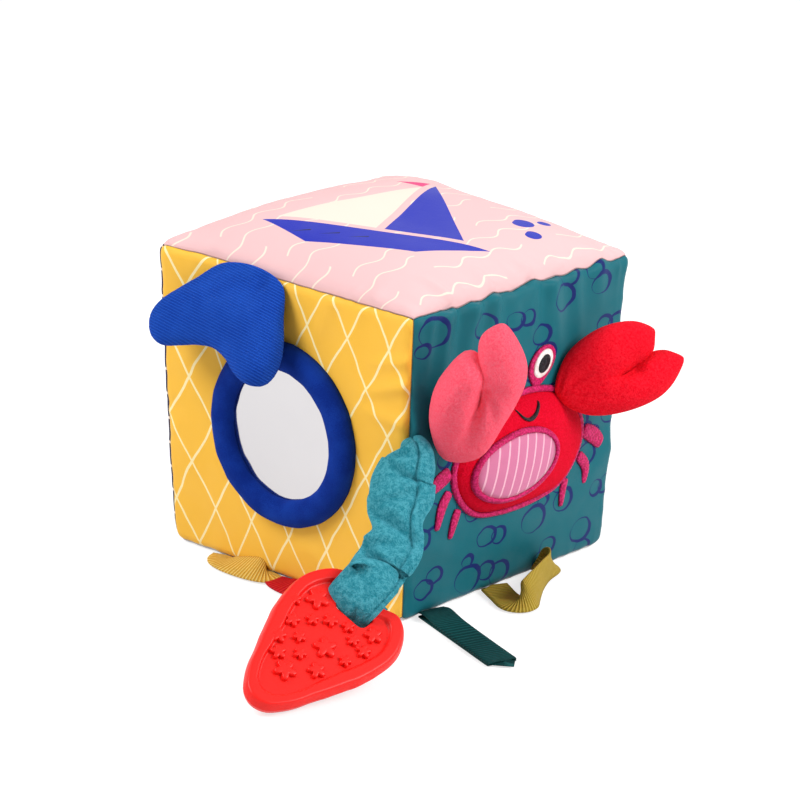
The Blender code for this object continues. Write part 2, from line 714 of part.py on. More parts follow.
def make_strap():
    line = strap_route()

    def gathered(t):
        return 1 + gather_share * math.cos(2 * math.pi * gathers * t)

    def easing(t):
        return min(1.0, max(0.0, (1 - t) / neck_share))

    def half_width(t):
        wide = strap_half_width * spline([(s, 0) for s in width_shares], t).x * gathered(t)
        return loop_half_width + (wide - loop_half_width) * easing(t)

    def half_thick(t):
        thick = strap_half_thick * (1.0 - 0.55 * (1 - min(1.0, t / 0.15))) * gathered(t + 0.5 / gathers)
        return loop_half_thick + (thick - loop_half_thick) * easing(t)

    thicken(strap_tube("strap_sleeve", line, half_width, half_thick, teal_plush), strap_fabric)
    inner = [step for step in line if 0.06 < step[2] < 0.80]
    bm = bmesh.new()
    bmesh.ops.create_grid(bm, x_segments=len(inner) - 1, y_segments=1, size=1)
    root = strap_root()
    for point in bm.verts:
        at = round((point.co.x + 1) / 2 * (len(inner) - 1))
        point.co = inner[at][0] + inner[at][1] * elastic_half_width * point.co.y - root
    thicken(finish("strap_elastic", bm, elastic_web, Matrix.Translation(root)), elastic_thick, 0.0)


# The heart's edge as shares of its half width, from its tip round to the notch
heart_shares = (1.72, 1.66, 1.49, 1.32, 1.165, 1.067, 1.004, 0.954, 0.926, 0.912, 0.919, 0.930, 0.947, 0.982,
                1.025, 1.088, 1.158, 1.228, 1.288, 1.347, 1.389, 1.379, 1.249, 1.172, 1.158)


def make_teether():
    frame = Matrix((tip_way, width_way, face_way)).transposed().to_4x4()
    frame = Matrix.Translation(bar_place) @ frame

    def on_heart(turn, share, extra, lift):
        reach = teether_half_width * polar(heart_shares, turn) * share + extra
        return Vector((teether_centre + reach * math.cos(turn), reach * math.sin(turn), lift))

    plate, rim = plate_half_thick, rim_half_thick
    foot = -rim_width - (rim - plate)
    rows = [(0, 0, plate), (0.45, 0, plate), (1, foot, plate), (1, -rim_width, rim), (1, -rim_round, rim),
            (1, 0, rim - rim_round)]
    rows += [(share, extra, -lift) for share, extra, lift in rows[::-1]]
    heart = rolled("teether", rows, teether_steps, on_heart, silicone, frame)
    bm = bmesh.new()
    bmesh.ops.create_cube(bm, size=1)
    deep = 2 * (rim + overrun)
    bmesh.ops.scale(bm, vec=(slot_far - slot_near, 2 * slot_half_width, deep), verts=bm.verts)
    uprights = [e for e in bm.edges if abs(e.verts[0].co.z - e.verts[1].co.z) > rim]
    bmesh.ops.bevel(bm, geom=uprights, offset=(slot_far - slot_near) / 3, segments=3, affect="EDGES", profile=0.5)
    middle = Matrix.Translation(((slot_far + slot_near) / 2, 0, 0))
    cut(heart, finish("slot_cutter", bm, silicone, frame @ middle, cutters))


# Ribbons

def tape(name, points, twists, look, frame, cells):
    """a flat tape over points of its lower edge; a twist of 0 lies flat and 90 degrees stands on edge"""
    bm = bmesh.new()
    bmesh.ops.create_grid(bm, x_segments=cells, y_segments=1, size=1)
    for point in bm.verts:
        t = (point.co.x + 1) / 2
        here = spline(points, t)
        ahead = spline(points, min(1.0, t + 0.01)) - spline(points, max(0.0, t - 0.01))
        flat = up.cross(Vector((ahead.x, ahead.y, 0))).normalized()
        twist = math.radians(spline([(w, 0) for w in twists], t).x)
        edge = flat * math.cos(twist) + up * math.sin(twist)
        here += up * math.sin(twist) * tape_width / 2
        point.co = here + edge * point.co.y * tape_width / 2
        point.co.x = max(point.co.x, 0)
    return thicken(finish(name, bm, look, frame), tape_thick, 0.0)


# An arch's line as (along, out) shares of its spread and reach, and its twist in degrees at each point
even_arch_shares = ((-0.5, 0), (-0.5, 0.45), (-0.36, 0.9), (0, 1), (0.36, 0.9), (0.5, 0.45), (0.5, 0))
even_arch_twists = (0, 12, 28, 34, 28, 12, 0)
skew_arch_shares = ((-0.5, 0), (-0.68, 0.47), (-0.805, 0.83), (-0.69, 1.0), (-0.44, 0.89), (-0.11, 0.69),
                    (0.22, 0.50), (0.46, 0.27), (0.5, 0))
skew_arch_twists = (0, 0, 14, 46, 60, 64, 56, 24, 0)


def seam_frame(turn, across):
    """X runs out of the block and Y along the bottom seam, with the origin on the ribbon's hinge line"""
    corner = cover_point((1, 0, -1))
    spot = Matrix.Rotation(turn, 4, "Z") @ Vector((corner.x + tape_off, across, tape_lift))
    return Matrix.Translation(spot) @ Matrix.Rotation(turn, 4, "Z")


def arch(name, shares, twists, spread, reach, look, frame):
    drop = tape_lift - floor_clear - tape_thick / 2
    points = [(reach * out, spread * along, -drop * out) for along, out in shares]
    tape(name, points, twists, look, frame, tape_cells)


def make_ribbons():
    arch("ribbon_yellow_right", skew_arch_shares, skew_arch_twists, side_arch_spread, side_arch_reach,
         olive_tape, seam_frame(0, side_arch_across))
    front = math.radians(-90)
    arch("ribbon_yellow_front", even_arch_shares, even_arch_twists, front_arch_spread, front_arch_reach,
         yellow_tape, seam_frame(front, yellow_arch_across))
    arch("ribbon_red_front", even_arch_shares, even_arch_twists, front_arch_spread, front_arch_reach,
         red_tape, seam_frame(front, red_arch_across))
    low = floor_clear + tape_thick / 2 - tape_lift
    over = low + tape_thick + touch_gap * 2
    bump = tape_lift - over
    way = Vector((math.cos(flat_loop_turn), math.sin(flat_loop_turn)))
    upper_shares = ((0, 0.2), (0.16, 1.0), (0.45, 0.35), (0.80, 0.05), (0.985, 0))
    points = [(*way * flat_loop_reach * s, over + bump * rise) for s, rise in upper_shares]
    points.append((*way * flat_loop_reach, (low + over) / 2))
    points += [(*way * flat_loop_reach * s, low) for s, rise in upper_shares[::-1]]
    tape("ribbon_green_right", points, (0, 0), green_tape, seam_frame(0, flat_loop_inset - half), flat_loop_cells)


make_block()
make_rattle()
make_mirror()
make_crab()
make_face()
make_claws()
make_tail()
make_strap()
make_teether()
make_ribbons()
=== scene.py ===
import json
from math import atan2, cos, exp, hypot, pi, radians, sin, sqrt

import bmesh
import bpy
from mathutils import Matrix, Vector, noise


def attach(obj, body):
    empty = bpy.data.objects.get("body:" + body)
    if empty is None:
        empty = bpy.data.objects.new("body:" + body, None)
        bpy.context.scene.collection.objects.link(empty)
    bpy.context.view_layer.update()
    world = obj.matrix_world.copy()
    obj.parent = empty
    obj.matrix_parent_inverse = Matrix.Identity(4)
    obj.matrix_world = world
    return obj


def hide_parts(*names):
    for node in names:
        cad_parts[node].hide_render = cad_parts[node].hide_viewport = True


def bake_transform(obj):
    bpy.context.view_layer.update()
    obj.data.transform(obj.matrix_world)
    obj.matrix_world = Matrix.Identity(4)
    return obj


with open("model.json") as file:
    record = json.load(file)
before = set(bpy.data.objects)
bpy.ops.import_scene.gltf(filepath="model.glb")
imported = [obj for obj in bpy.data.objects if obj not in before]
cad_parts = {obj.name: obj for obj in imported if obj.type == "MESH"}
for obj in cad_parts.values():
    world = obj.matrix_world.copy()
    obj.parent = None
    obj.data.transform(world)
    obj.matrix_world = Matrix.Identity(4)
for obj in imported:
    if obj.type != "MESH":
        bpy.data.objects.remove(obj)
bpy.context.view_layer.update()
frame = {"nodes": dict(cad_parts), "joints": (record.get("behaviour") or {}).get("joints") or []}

scene = bpy.context.scene
up = Vector((0, 0, 1))
hinges = {joint["name"]: Vector(joint["pos_m"]) for joint in frame["joints"] if joint["type"] == "hinge"}
print("frame loaded:", len(frame["nodes"]), "nodes")

# Camera, floor and light

view = {"turn": 41.1, "rise": 18.6, "roll": 2.07, "distance": 1.578, "shiftAcross": -0.0024,
    "shiftUp": 0.001, "lens": 146.39, "aim": 0.075}


def link(name, data):
    made = bpy.data.objects.new(name, data)
    scene.collection.objects.link(made)
    return made


def linkMesh(name, bm):
    mesh = bpy.data.meshes.new(name)
    bm.to_mesh(mesh)
    bm.free()
    return link(name, mesh)


def makeCamera():
    turn, rise, roll = (radians(view[key]) for key in ("turn", "rise", "roll"))
    back = Vector((sin(turn) * cos(rise), -cos(turn) * cos(rise), sin(rise)))
    level = Vector((cos(turn), sin(turn), 0))
    upright = back.cross(level)
    right = level * cos(roll) + upright * sin(roll)
    top = upright * cos(roll) - level * sin(roll)
    spot = Vector((0, 0, view["aim"])) + back * view["distance"]
    spot -= right * view["shiftAcross"] + top * view["shiftUp"]
    data = bpy.data.cameras.new("camera")
    data.lens = view["lens"]
    camera = link("camera", data)
    camera.matrix_world = Matrix.Translation(spot) @ Matrix((right, top, back)).transposed().to_4x4()
    scene.camera = camera


# lamps as name, place, size and power
light = {"world": 0.38, "lamps": (("key", (-0.5, -1.0, 1.15), 0.8, 17.0),
    ("side", (1.05, 0.3, 0.82), 0.7, 14.0), ("rear", (-0.3, 0.9, 0.9), 1.0, 3.0))}
floorLook = {"half": 6, "seen": (0.45, 0.45, 0.45), "lit": (0.8, 0.8, 0.8), "glow": 0.7}


def makeLight():
    for name, spot, size, power in light["lamps"]:
        data = bpy.data.lights.new(name, "AREA")
        data.shape = "DISK"
        data.size = size
        data.energy = power
        lamp = link(name, data)
        lamp.location = spot
        away = Vector(spot) - Vector((0, 0, view["aim"]))
        lamp.rotation_euler = away.to_track_quat("Z", "Y").to_euler()
    world = bpy.data.worlds.new("studio")
    scene.world = world
    world.use_nodes = True
    sky = world.node_tree.nodes["Background"]
    feed(sky.inputs["Strength"], seenDirectly(world.node_tree) * (1 - light["world"]) + light["world"])
    feed(sky.inputs["Color"], (1, 1, 1, 1))


def makeFloor():
    bm = bmesh.new()
    bmesh.ops.create_grid(bm, x_segments=1, y_segments=1, size=floorLook["half"])
    floor = linkMesh("floor", bm)
    made, tree, sockets = startMaterial("paleFloor", 0.9, 0.1)
    seen = seenDirectly(tree)
    feed(sockets["Base Color"], over(seen, floorLook["lit"], floorLook["seen"]))
    feed(sockets["Emission Color"], (1, 1, 1, 1))
    feed(sockets["Emission Strength"], seen * floorLook["glow"])
    floor.data.materials.append(made)


# Node helpers: a wire is one output socket, and takes part in sums

class Wire:
    def __init__(self, tree, socket):
        self.tree = tree
        self.socket = socket

    def calc(self, operation, *others):
        return addNode(self.tree, "Math", enumerate((self, *others)), operation=operation)[0]

    def __add__(self, other):
        return self.calc("ADD", other)

    def __sub__(self, other):
        return self.calc("SUBTRACT", other)

    def __mul__(self, other):
        return self.calc("MULTIPLY", other)

    def __truediv__(self, other):
        return self.calc("DIVIDE", other)

    def __lt__(self, other):
        return self.calc("LESS_THAN", other)

    def __gt__(self, other):
        return self.calc("GREATER_THAN", other)

    def __abs__(self):
        return self.calc("ABSOLUTE")


def feed(socket, value):
    if isinstance(value, Wire):
        value.tree.links.new(value.socket, socket)
    else:
        socket.default_value = value


def addNode(tree, kind, inputs=(), **settings):
    # settings first, since they decide which sockets there are; gives the outputs by name and by number
    node = tree.nodes.new("ShaderNode" + kind)
    for key, value in settings.items():
        setattr(node, key, value)
    for key, value in dict(inputs).items():
        feed(node.inputs[key], value)
    outputs = {}
    for number, socket in enumerate(node.outputs):
        outputs[number] = outputs[socket.name] = Wire(tree, socket)
    return outputs


def seenDirectly(tree):
    path = addNode(tree, "LightPath")
    camera, glossy, clear = (path[f"Is {kind} Ray"] for kind in ("Camera", "Glossy", "Transmission"))
    return camera.calc("MAXIMUM", glossy).calc("MAXIMUM", clear)


def ramp(value, low, high):
    # 0 below low, 1 above high
    return addNode(value.tree, "MapRange", {"Value": value, "From Min": low, "From Max": high},
        interpolation_type="SMOOTHSTEP")["Result"]


def over(mask, below, above):
    below, above = (colour if isinstance(colour, Wire) else (*colour, 1) for colour in (below, above))
    return addNode(mask.tree, "Mix", {0: mask, 6: below, 7: above}, data_type="RGBA")[2]


def pair(across, along):
    return addNode(across.tree, "CombineXYZ", {0: across, 1: along})[0]


def split(vector):
    parts = addNode(vector.tree, "SeparateXYZ", {0: vector})
    return parts[0], parts[1], parts[2]


def grain(vector, scale, detail=2.0, roughness=0.5):
    return addNode(vector.tree, "TexNoise",
        {"Vector": vector, "Scale": scale, "Detail": detail, "Roughness": roughness})["Fac"]


def stretched(vector, scales):
    return addNode(vector.tree, "Mapping", {"Vector": vector, "Scale": scales})[0]


def inObject(tree):
    return addNode(tree, "TexCoord")["Object"]


def onCloth(tree):
    return addNode(tree, "UVMap", uv_map="cloth")[0]


def dotWith(vector, way):
    return addNode(vector.tree, "VectorMath", {0: vector, 1: way}, operation="DOT_PRODUCT")["Value"]


def wave(value, pitch):
    return (value / pitch * (2 * pi)).calc("SINE")


def lineAt(turns, share):
    # one line in each turn, share of a turn to either side
    return abs(turns.calc("FRACT") - 0.5) < share


def makeGroup(name, inputs, outputs, build):
    # inputs as label and number, or None for a vector; build gives one wire for each output
    group = bpy.data.node_groups.new(name, "ShaderNodeTree")
    for label, value in inputs.items():
        kind = "NodeSocketVector" if value is None else "NodeSocketFloat"
        socket = group.interface.new_socket(label, in_out="INPUT", socket_type=kind)
        if value is not None:
            socket.default_value = value
    for label in outputs:
        group.interface.new_socket(label, in_out="OUTPUT", socket_type="NodeSocketFloat")
    start = group.nodes.new("NodeGroupInput")
    end = group.nodes.new("NodeGroupOutput")
    for label, value in zip(outputs, build({socket.name: Wire(group, socket) for socket in start.outputs})):
        feed(end.inputs[label], value)
    return group


def useGroup(group, **values):
    return addNode(values["Vector"].tree, "Group", values, node_tree=group)


def buildWeave(given):
    across, along, _ = split(given["Vector"])
    threads = wave(across, given["Pitch"]) * wave(along, given["Pitch"])
    return [threads * 0.35 + grain(stretched(given["Vector"], (260, 1100, 1)), 1.0)]


def buildNap(given):
    fine = grain(given["Vector"], given["Scale"], 3, 0.65)
    tufts = grain(given["Vector"], given["Scale"] * 0.3)
    brushed = grain(given["Vector"], given["Brush"])
    return tufts * 0.5 + fine, ramp((fine - 0.5) * 1.1 + brushed, 0.22, 0.8)


def buildLoop(given):
    # a hand-drawn ring whose line is thicker on one side
    across, along, _ = split(given["Vector"])
    one = across - given["Across"]
    two = (along - given["Up"]) * given["Squash"]
    reach = (one * one + two * two).calc("SQRT")
    side = (two * given["Lean"] + one) / reach
    return [abs(reach - given["Radius"]) < given["Stroke"] * (side * 0.45 + 0.75)]


def buildTriangle(given):
    # inside three lines, each given by a direction and how far it lies from the origin
    spot = given["Vector"]
    one, two, three = (dotWith(spot, given["Way " + side]) < given["Reach " + side] for side in "ABC")
    return [one * two * three]


weaveGroup = makeGroup("plain weave", {"Vector": None, "Pitch": 0.0006}, ["Height"], buildWeave)
napGroup = makeGroup("brushed nap", {"Vector": None, "Scale": 1300.0, "Brush": 45.0}, ["Height", "Shade"],
    buildNap)
loopGroup = makeGroup("drawn ring", {"Vector": None, "Across": 0.0, "Up": 0.0, "Radius": 0.005,
    "Stroke": 0.0009, "Lean": 0.0, "Squash": 1.0}, ["Mask"], buildLoop)
triangleGroup = makeGroup("drawn triangle", {"Vector": None, "Way A": None, "Reach A": 0.0, "Way B": None,
    "Reach B": 0.0, "Way C": None, "Reach C": 0.0}, ["Mask"], buildTriangle)


# Materials

def startMaterial(name, roughness, specular=0.5, sheen=0.0, sheenRoughness=0.4, sheenTint=(1, 1, 1)):
    made = bpy.data.materials.new(name)
    made.use_nodes = True
    sockets = made.node_tree.nodes["Principled BSDF"].inputs
    for key, value in (("Roughness", roughness), ("Specular IOR Level", specular), ("Sheen Weight", sheen),
            ("Sheen Roughness", sheenRoughness), ("Sheen Tint", (*sheenTint, 1))):
        feed(sockets[key], value)
    return made, made.node_tree, sockets


def bump(sockets, height, strength, distance):
    raised = addNode(height.tree, "Bump", {"Strength": strength, "Distance": distance, "Height": height})
    feed(sockets["Normal"], raised[0])


# fade is how far the print pales in patches; the seam band is painted shade along the seams, the shadow
# line in the seam gap together with the dark seam thread, from and to in shares of the side
satinLook = {"specular": 0.08, "fade": 0.008, "ink": 0.55, "seamShadeColour": (0.06, 0.03, 0.03),
    "seamShadeFrom": 0.4945, "seamShadeTo": 0.4975, "uneven": 0.004, "weave": 0.25, "weaveDepth": 0.0002}
napLook = {"roughness": 0.95, "specular": 0.1, "sheenRoughness": 0.55, "ribHeight": 0.45,
    "ribColour": 0.6, "bump": 0.8}
threadLook = {"roughness": 0.6, "specular": 0.25, "sheen": 0.05, "palest": (0.42, 0.62), "bump": 0.9,
    "depth": 0.0006}
tapeLook = {"roughness": 0.6, "specular": 0.08, "grain": 700.0, "uneven": 1.2, "palest": (0.3, 1.7),
    "bump": 0.7, "depth": 0.0003}


def satin(name, paint, pitch=0.0006, roughness=0.44):
    # printed cover cloth; paint gives its colour, with places in metres from the panel's middle
    made, tree, sockets = startMaterial(name, roughness, satinLook["specular"])
    shares = [share - 0.5 for share in split(onCloth(tree))[:2]]
    across, along = (share * (2 * half) for share in shares)
    spot = pair(across, along)
    fade = ramp(grain(spot, 55.0), 0.35, 0.75) * satinLook["fade"]
    colour = over(fade, paint(across, along, spot), (1, 1, 1))
    # painted shade at the seams: the colour darkens towards each panel's edges, standing in for the shadow
    # in the seam gap as well as the dark seam thread
    towardSeam = grain(spot, 60.0) * -satinLook["uneven"] + abs(shares[0]).calc("MAXIMUM", abs(shares[1]))
    ink = ramp(towardSeam, satinLook["seamShadeFrom"], satinLook["seamShadeTo"]) * satinLook["ink"]
    feed(sockets["Base Color"], over(ink, colour, satinLook["seamShadeColour"]))
    woven = useGroup(weaveGroup, Vector=spot, Pitch=pitch)
    bump(sockets, woven["Height"], satinLook["weave"], satinLook["weaveDepth"])
    return made


def nap(name, dark, pale, scale, brush, depth, amount=0.7, ribs=None, sheen=0.25):
    # plush or velour: a dark ground with paler brushed pile; ribs is the (direction, pitch) of knitted ribs
    made, tree, sockets = startMaterial(
        name, napLook["roughness"], napLook["specular"], sheen, napLook["sheenRoughness"], pale)
    spot = inObject(tree)
    pile = useGroup(napGroup, Vector=spot, Scale=scale, Brush=brush)
    colour = over(pile["Shade"] * amount, dark, pale)
    height = pile["Height"]
    if ribs:
        ridge = wave(dotWith(spot, ribs[0]), ribs[1])
        height = ridge * napLook["ribHeight"] + height
        colour = over(ramp(ridge, -0.2, 1.0) * napLook["ribColour"], colour, pale)
    feed(sockets["Base Color"], colour)
    bump(sockets, height, napLook["bump"], depth)
    return made


def embroidery(name, dark, pale, scale=500):
    made, tree, sockets = startMaterial(
        name, threadLook["roughness"], threadLook["specular"], threadLook["sheen"])
    threads = grain(stretched(inObject(tree), (scale, scale, scale)), 1.0, 1.0)
    feed(sockets["Base Color"], over(ramp(threads, *threadLook["palest"]), dark, pale))
    bump(sockets, threads, threadLook["bump"], threadLook["depth"])
    return made


def tapeMaterial(name, dark, pale, pitch=0.0013):
    # ribbed ribbon: the ribs lie across its length
    made, tree, sockets = startMaterial(name, tapeLook["roughness"], tapeLook["specular"])
    ridge = wave(split(onCloth(tree))[0], pitch)
    uneven = grain(inObject(tree), tapeLook["grain"]) * tapeLook["uneven"]
    feed(sockets["Base Color"], over(ramp(uneven + ridge, *tapeLook["palest"]), dark, pale))
    bump(sockets, ridge, tapeLook["bump"], tapeLook["depth"])
    return made


def plain(name, colour, roughness, scale, depth, metallic=0.0, mottle=0.08, specular=0.4):
    made, tree, sockets = startMaterial(name, roughness, specular)
    feed(sockets["Metallic"], metallic)
    speck = grain(inObject(tree), scale, 3)
    tint = [min(1.0, c * (1 + mottle * 2)) for c in colour]
    feed(sockets["Base Color"], over(ramp(speck, 0.3, 0.7), colour, tint))
    bump(sockets, speck, 0.3, depth)
    return made


# Prints

printColours = {"pink": (0.77, 0.475, 0.48), "blue": (0.012, 0.022, 0.38),
    "cream": (0.83, 0.69, 0.59), "yellow": (0.905, 0.5, 0.058), "lattice": (0.96, 0.8, 0.42),
    "teal": (0.01, 0.13, 0.163), "ring": (0.008, 0.02, 0.125), "navy": (0.018, 0.016, 0.06),
    "grey": (0.6, 0.6, 0.61), "black": (0.008, 0.008, 0.012), "magenta": (0.7, 0.03, 0.18),
    "belly": (0.61, 0.165, 0.31), "bellyLine": (0.84, 0.45, 0.56)}
# lattice rows as lean, start and which way the wobble goes; the lines' widths are shares of their pitch
lattice = {"across": 41.0, "rows": ((24.5, 0.58, 1), (-22.2, 0.217, -1)), "wobble": 0.2, "line": 0.026}
ringRows = {"levels": (-64, -43, -22, -1, 20, 41, 62), "step": 29, "radii": (6.2, 8.4, 7.0, 5.4, 7.7),
    "stroke": 0.95, "squash": 1.22, "edge": 70, "second": 0.72, "overlap": 0.8, "shiver": 0.003,
    "shift": (-4, 11), "wander": (3.7, 3.1)}
waves = {"length": 0.021, "high": 0.16, "pitch": 0.0135, "start": 0.2, "line": 0.036, "gap": 0.085,
    "break": -0.55}
backLines = {"pitch": 0.0122, "start": 0.3, "line": 0.055}
bellyLines = {"pitch": 0.0058, "lean": 0.14, "line": 0.085}


def paintLattice(across, along, spot):
    wobble = (grain(spot, 38.0) - 0.5) * lattice["wobble"]
    one, two = (lineAt(along * lean + across * lattice["across"] + start + wobble * way, lattice["line"])
        for lean, start, way in lattice["rows"])
    return over(one.calc("MAXIMUM", two), printColours["yellow"], printColours["lattice"])


def paintRings(across, along, spot):
    shiver = ringRows["shiver"]
    colours = addNode(spot.tree, "TexNoise", {"Vector": spot, "Scale": 90.0})["Color"]
    drawnAt = addNode(spot.tree, "VectorMath", {0: colours, 1: (shiver, shiver, 0), 2: spot},
        operation="MULTIPLY_ADD")[0]
    drawn = None
    count = 0
    for row, level in enumerate(ringRows["levels"]):
        for column in range(-3, 4):
            middle = column * ringRows["step"] + ringRows["shift"][row % 2]
            if abs(middle) > ringRows["edge"] or (row * 3 + column * 5) % 9 == 2:
                continue
            # two rings that touch, the second smaller and a little further round each time
            one, two = ringRows["wander"]
            first = Vector((middle + one * sin(count * 2.4), level + two * cos(count * 1.7)))
            radius = ringRows["radii"][count % 5]
            small = ringRows["radii"][(count + 2) % 5] * ringRows["second"]
            angle = count * 1.1 + 0.6
            second = first + Vector((cos(angle), sin(angle))) * (radius + small) * ringRows["overlap"]
            for spotted, size in ((first, radius), (second, small)):
                x, y = (c / 1000 + shiver / 2 for c in spotted)
                mask = useGroup(loopGroup, Vector=drawnAt, Across=x, Up=y, Radius=size / 1000,
                    Stroke=ringRows["stroke"] / 1000, Lean=sin(count * 1.3),
                    Squash=ringRows["squash"])["Mask"]
                drawn = mask if drawn is None else drawn.calc("MAXIMUM", mask)
            count += 1
    print("rings printed:", count)
    return over(drawn, printColours["teal"], printColours["ring"])


# The boat on the top: triangles as corner points in millimetres, drawn in this order
boat = {"turn": 24, "middle": (-0.004, 0.002),
    "shapes": (("cream", ((-4, -20), (-4, 50), (-52, -20))), ("blue", ((0, -20), (0, 58), (38, -20))),
        ("blue", ((-58, -24), (52, -24), (-3, -66))), ("magenta", ((-4, 62), (-4, 51), (-19, 56.5)))),
    "cut": -46, "lines": ((-40, -37, 9), (-26, -37, 9), (-12, -37, 9)),
    "drops": ((52, 20, 5.0), (61, 8, 3.8), (60, 30, 3.0))}


def triangleMask(spot, corners):
    middle = sum((Vector(c) for c in corners), Vector((0, 0))) / 3
    values = {"Vector": spot}
    for key, one, two in zip("ABC", corners, corners[1:] + corners[:1]):
        edge = Vector(two) - Vector(one)
        way = Vector((edge.y, -edge.x)).normalized()
        if way.dot(middle - Vector(one)) > 0:
            way = -way
        values["Way " + key] = (way.x, way.y, 0)
        values["Reach " + key] = way.dot(Vector(one)) / 1000
    return useGroup(triangleGroup, **values)["Mask"]


def paintBoat(across, along, spot):
    turns = wave(along, waves["length"]) * waves["high"] + across / waves["pitch"] + waves["start"]
    turns = turns + grain(spot, 30.0) * 0.5
    broken = (turns.calc("FLOOR") * 2.1 + along * (2 * pi / waves["gap"])).calc("SINE")
    drawn = lineAt(turns, waves["line"]) * (broken > waves["break"])
    colour = over(drawn, printColours["pink"], printColours["cream"])
    here = addNode(spot.tree, "Mapping", {"Vector": spot, "Location": (*boat["middle"], 0),
        "Rotation": (0, 0, radians(boat["turn"]))}, vector_type="TEXTURE")[0]
    for name, corners in boat["shapes"]:
        mask = triangleMask(here, corners)
        if corners[2][1] < boat["cut"]:
            mask = mask * (split(here)[1] > boat["cut"] / 1000)
        colour = over(mask, colour, printColours[name])
    for x, y, length in boat["lines"]:
        mask = triangleMask(here, ((x, y), (x + length, y + 3), (x + length, y + 4.4)))
        colour = over(mask, colour, printColours["black"])
    for x, y, radius in boat["drops"]:
        # a ring with hardly any radius and a wide stroke is a solid drop
        drop = useGroup(loopGroup, Vector=here, Across=x / 1000, Up=y / 1000, Radius=0.00001,
            Stroke=radius / 750)["Mask"]
        colour = over(drop, colour, printColours["blue"])
    return colour


def paintLines(across, along, spot):
    turns = along / backLines["pitch"] + backLines["start"] + grain(spot, 30.0) * 0.35
    return over(lineAt(turns, backLines["line"]), printColours["navy"], printColours["cream"])


def paintPlain(name):
    colour = printColours[name]
    return lambda across, along, spot: over(grain(spot, 40.0), colour, [min(1, c * 1.06) for c in colour])


def stripes():
    made, tree, sockets = startMaterial("bellyStripes", 0.6, 0.4, 0.3)
    _, across, along = split(inObject(tree))
    lines = lineAt((across - along * bellyLines["lean"]) / bellyLines["pitch"], bellyLines["line"])
    feed(sockets["Base Color"], over(lines, printColours["belly"], printColours["bellyLine"]))
    bump(sockets, useGroup(weaveGroup, Vector=pair(across, along))["Height"], 0.3, 0.0003)
    return made


velourBlue = nap("velourBlue", (0.003, 0.036, 0.29), (0.016, 0.095, 0.52), 2300.0, 90.0, 0.0004, 0.35,
    ribs=((-0.126, -0.54, -0.832), 0.0013))
velourDeep = nap("velourDeep", (0.002, 0.02, 0.2), (0.007, 0.046, 0.33), 2300.0, 90.0, 0.0003)
plushRed = nap("plushRed", (0.84, 0.0, 0.012), (0.98, 0.018, 0.038), 1500.0, 900.0, 0.001, 0.75)
plushCrimson = nap("plushCrimson", (0.68, 0.0, 0.014), (0.83, 0.004, 0.034), 1500.0, 900.0, 0.0009,
    0.75)
# painted light: the left claw is the same red plush as the right claw, given paler, pinker base colours for
# the light and sheen that fall on it
plushPink = nap("plushPink", (1.0, 0.08, 0.135), (1.0, 0.17, 0.24), 1500.0, 900.0, 0.0009, 0.7)
plushTeal = nap("plushTeal", (0.015, 0.215, 0.28), (0.105, 0.46, 0.56), 1300.0, 420.0, 0.0018, 0.75,
    sheen=0.5)
threadMagenta = embroidery("threadMagenta", (0.42, 0.002, 0.07), (0.65, 0.014, 0.15), 900)
threadBlack = embroidery("threadBlack", (0.004, 0.004, 0.006), (0.016, 0.016, 0.02))
threadCream = embroidery("threadCream", (0.8, 0.7, 0.66), (0.92, 0.86, 0.83))
siliconeRed = plain("siliconeRed", (0.8, 0.008, 0.005), 0.4, 900.0, 0.00004, mottle=0.03, specular=0.3)
bellyStripes = stripes()
print("materials made")


# Pieces

def finishPiece(name, bm, body, replaced, look, closed=True):
    if closed:
        bmesh.ops.recalc_face_normals(bm, faces=bm.faces)
        if bm.calc_volume(signed=True) < 0:
            bmesh.ops.reverse_faces(bm, faces=bm.faces)
    piece = linkMesh(name, bm)
    piece.data.shade_smooth()
    piece.data.materials.append(look)
    if body:
        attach(piece, body)
    if replaced:
        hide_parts(*replaced)
    return piece


def sheetMesh(columns, rows, at, around=False, flat=None):
    # a grid of at(u, v), u and v from 0 to 1; around joins its ends, and flat is its cloth size
    bm = bmesh.new()
    uvs = bm.loops.layers.uv.new("cloth")
    wide, high = flat or (1.0, 1.0)
    last = columns if around else columns + 1
    grid = [[bm.verts.new(at(i / columns, k / rows)) for i in range(last)] for k in range(rows + 1)]
    for k in range(rows):
        for i in range(columns):
            n = (i + 1) % last
            face = bm.faces.new((grid[k][i], grid[k][n], grid[k + 1][n], grid[k + 1][i]))
            for loop, (p, q) in zip(face.loops, ((i, k), (i + 1, k), (i + 1, k + 1), (i, k + 1))):
                loop[uvs].uv = (p / columns * wide, q / rows * high)
    return bm


def weld(bm, distance=0.000002):
    bmesh.ops.remove_doubles(bm, verts=bm.verts, dist=distance)
    return bm


def thicken(piece, thick, offset):
    shell = piece.modifiers.new("thickness", "SOLIDIFY")
    shell.thickness = thick
    shell.offset = offset


def between(a, b, c, d, f):
    # from b to c on a smooth curve through the four, at f from 0 to 1
    return (2 * b + (c - a) * f + (2 * a - 5 * b + 4 * c - d) * f**2 + (3 * b - a - 3 * c + d) * f**3) / 2


def spline(points, t):
    # a smooth open curve through the points, at t from 0 to 1
    last = len(points) - 1
    step = min(int(t * last), last - 1)
    b, c = Vector(points[step]), Vector(points[step + 1])
    a = Vector(points[step - 1]) if step else 2 * b - c
    d = Vector(points[step + 2]) if step + 2 <= last else 2 * c - b
    return between(a, b, c, d, t * last - step)


def wayAlong(points, t, step=0.01):
    return spline(points, min(1.0, t + step)) - spline(points, max(0.0, t - step))


def curveValue(values, t):
    return spline([(v, 0) for v in values], t).x


def smooth(value, low, high):
    f = min(1.0, max(0.0, (value - low) / (high - low)))
    return f * f * (3 - 2 * f)


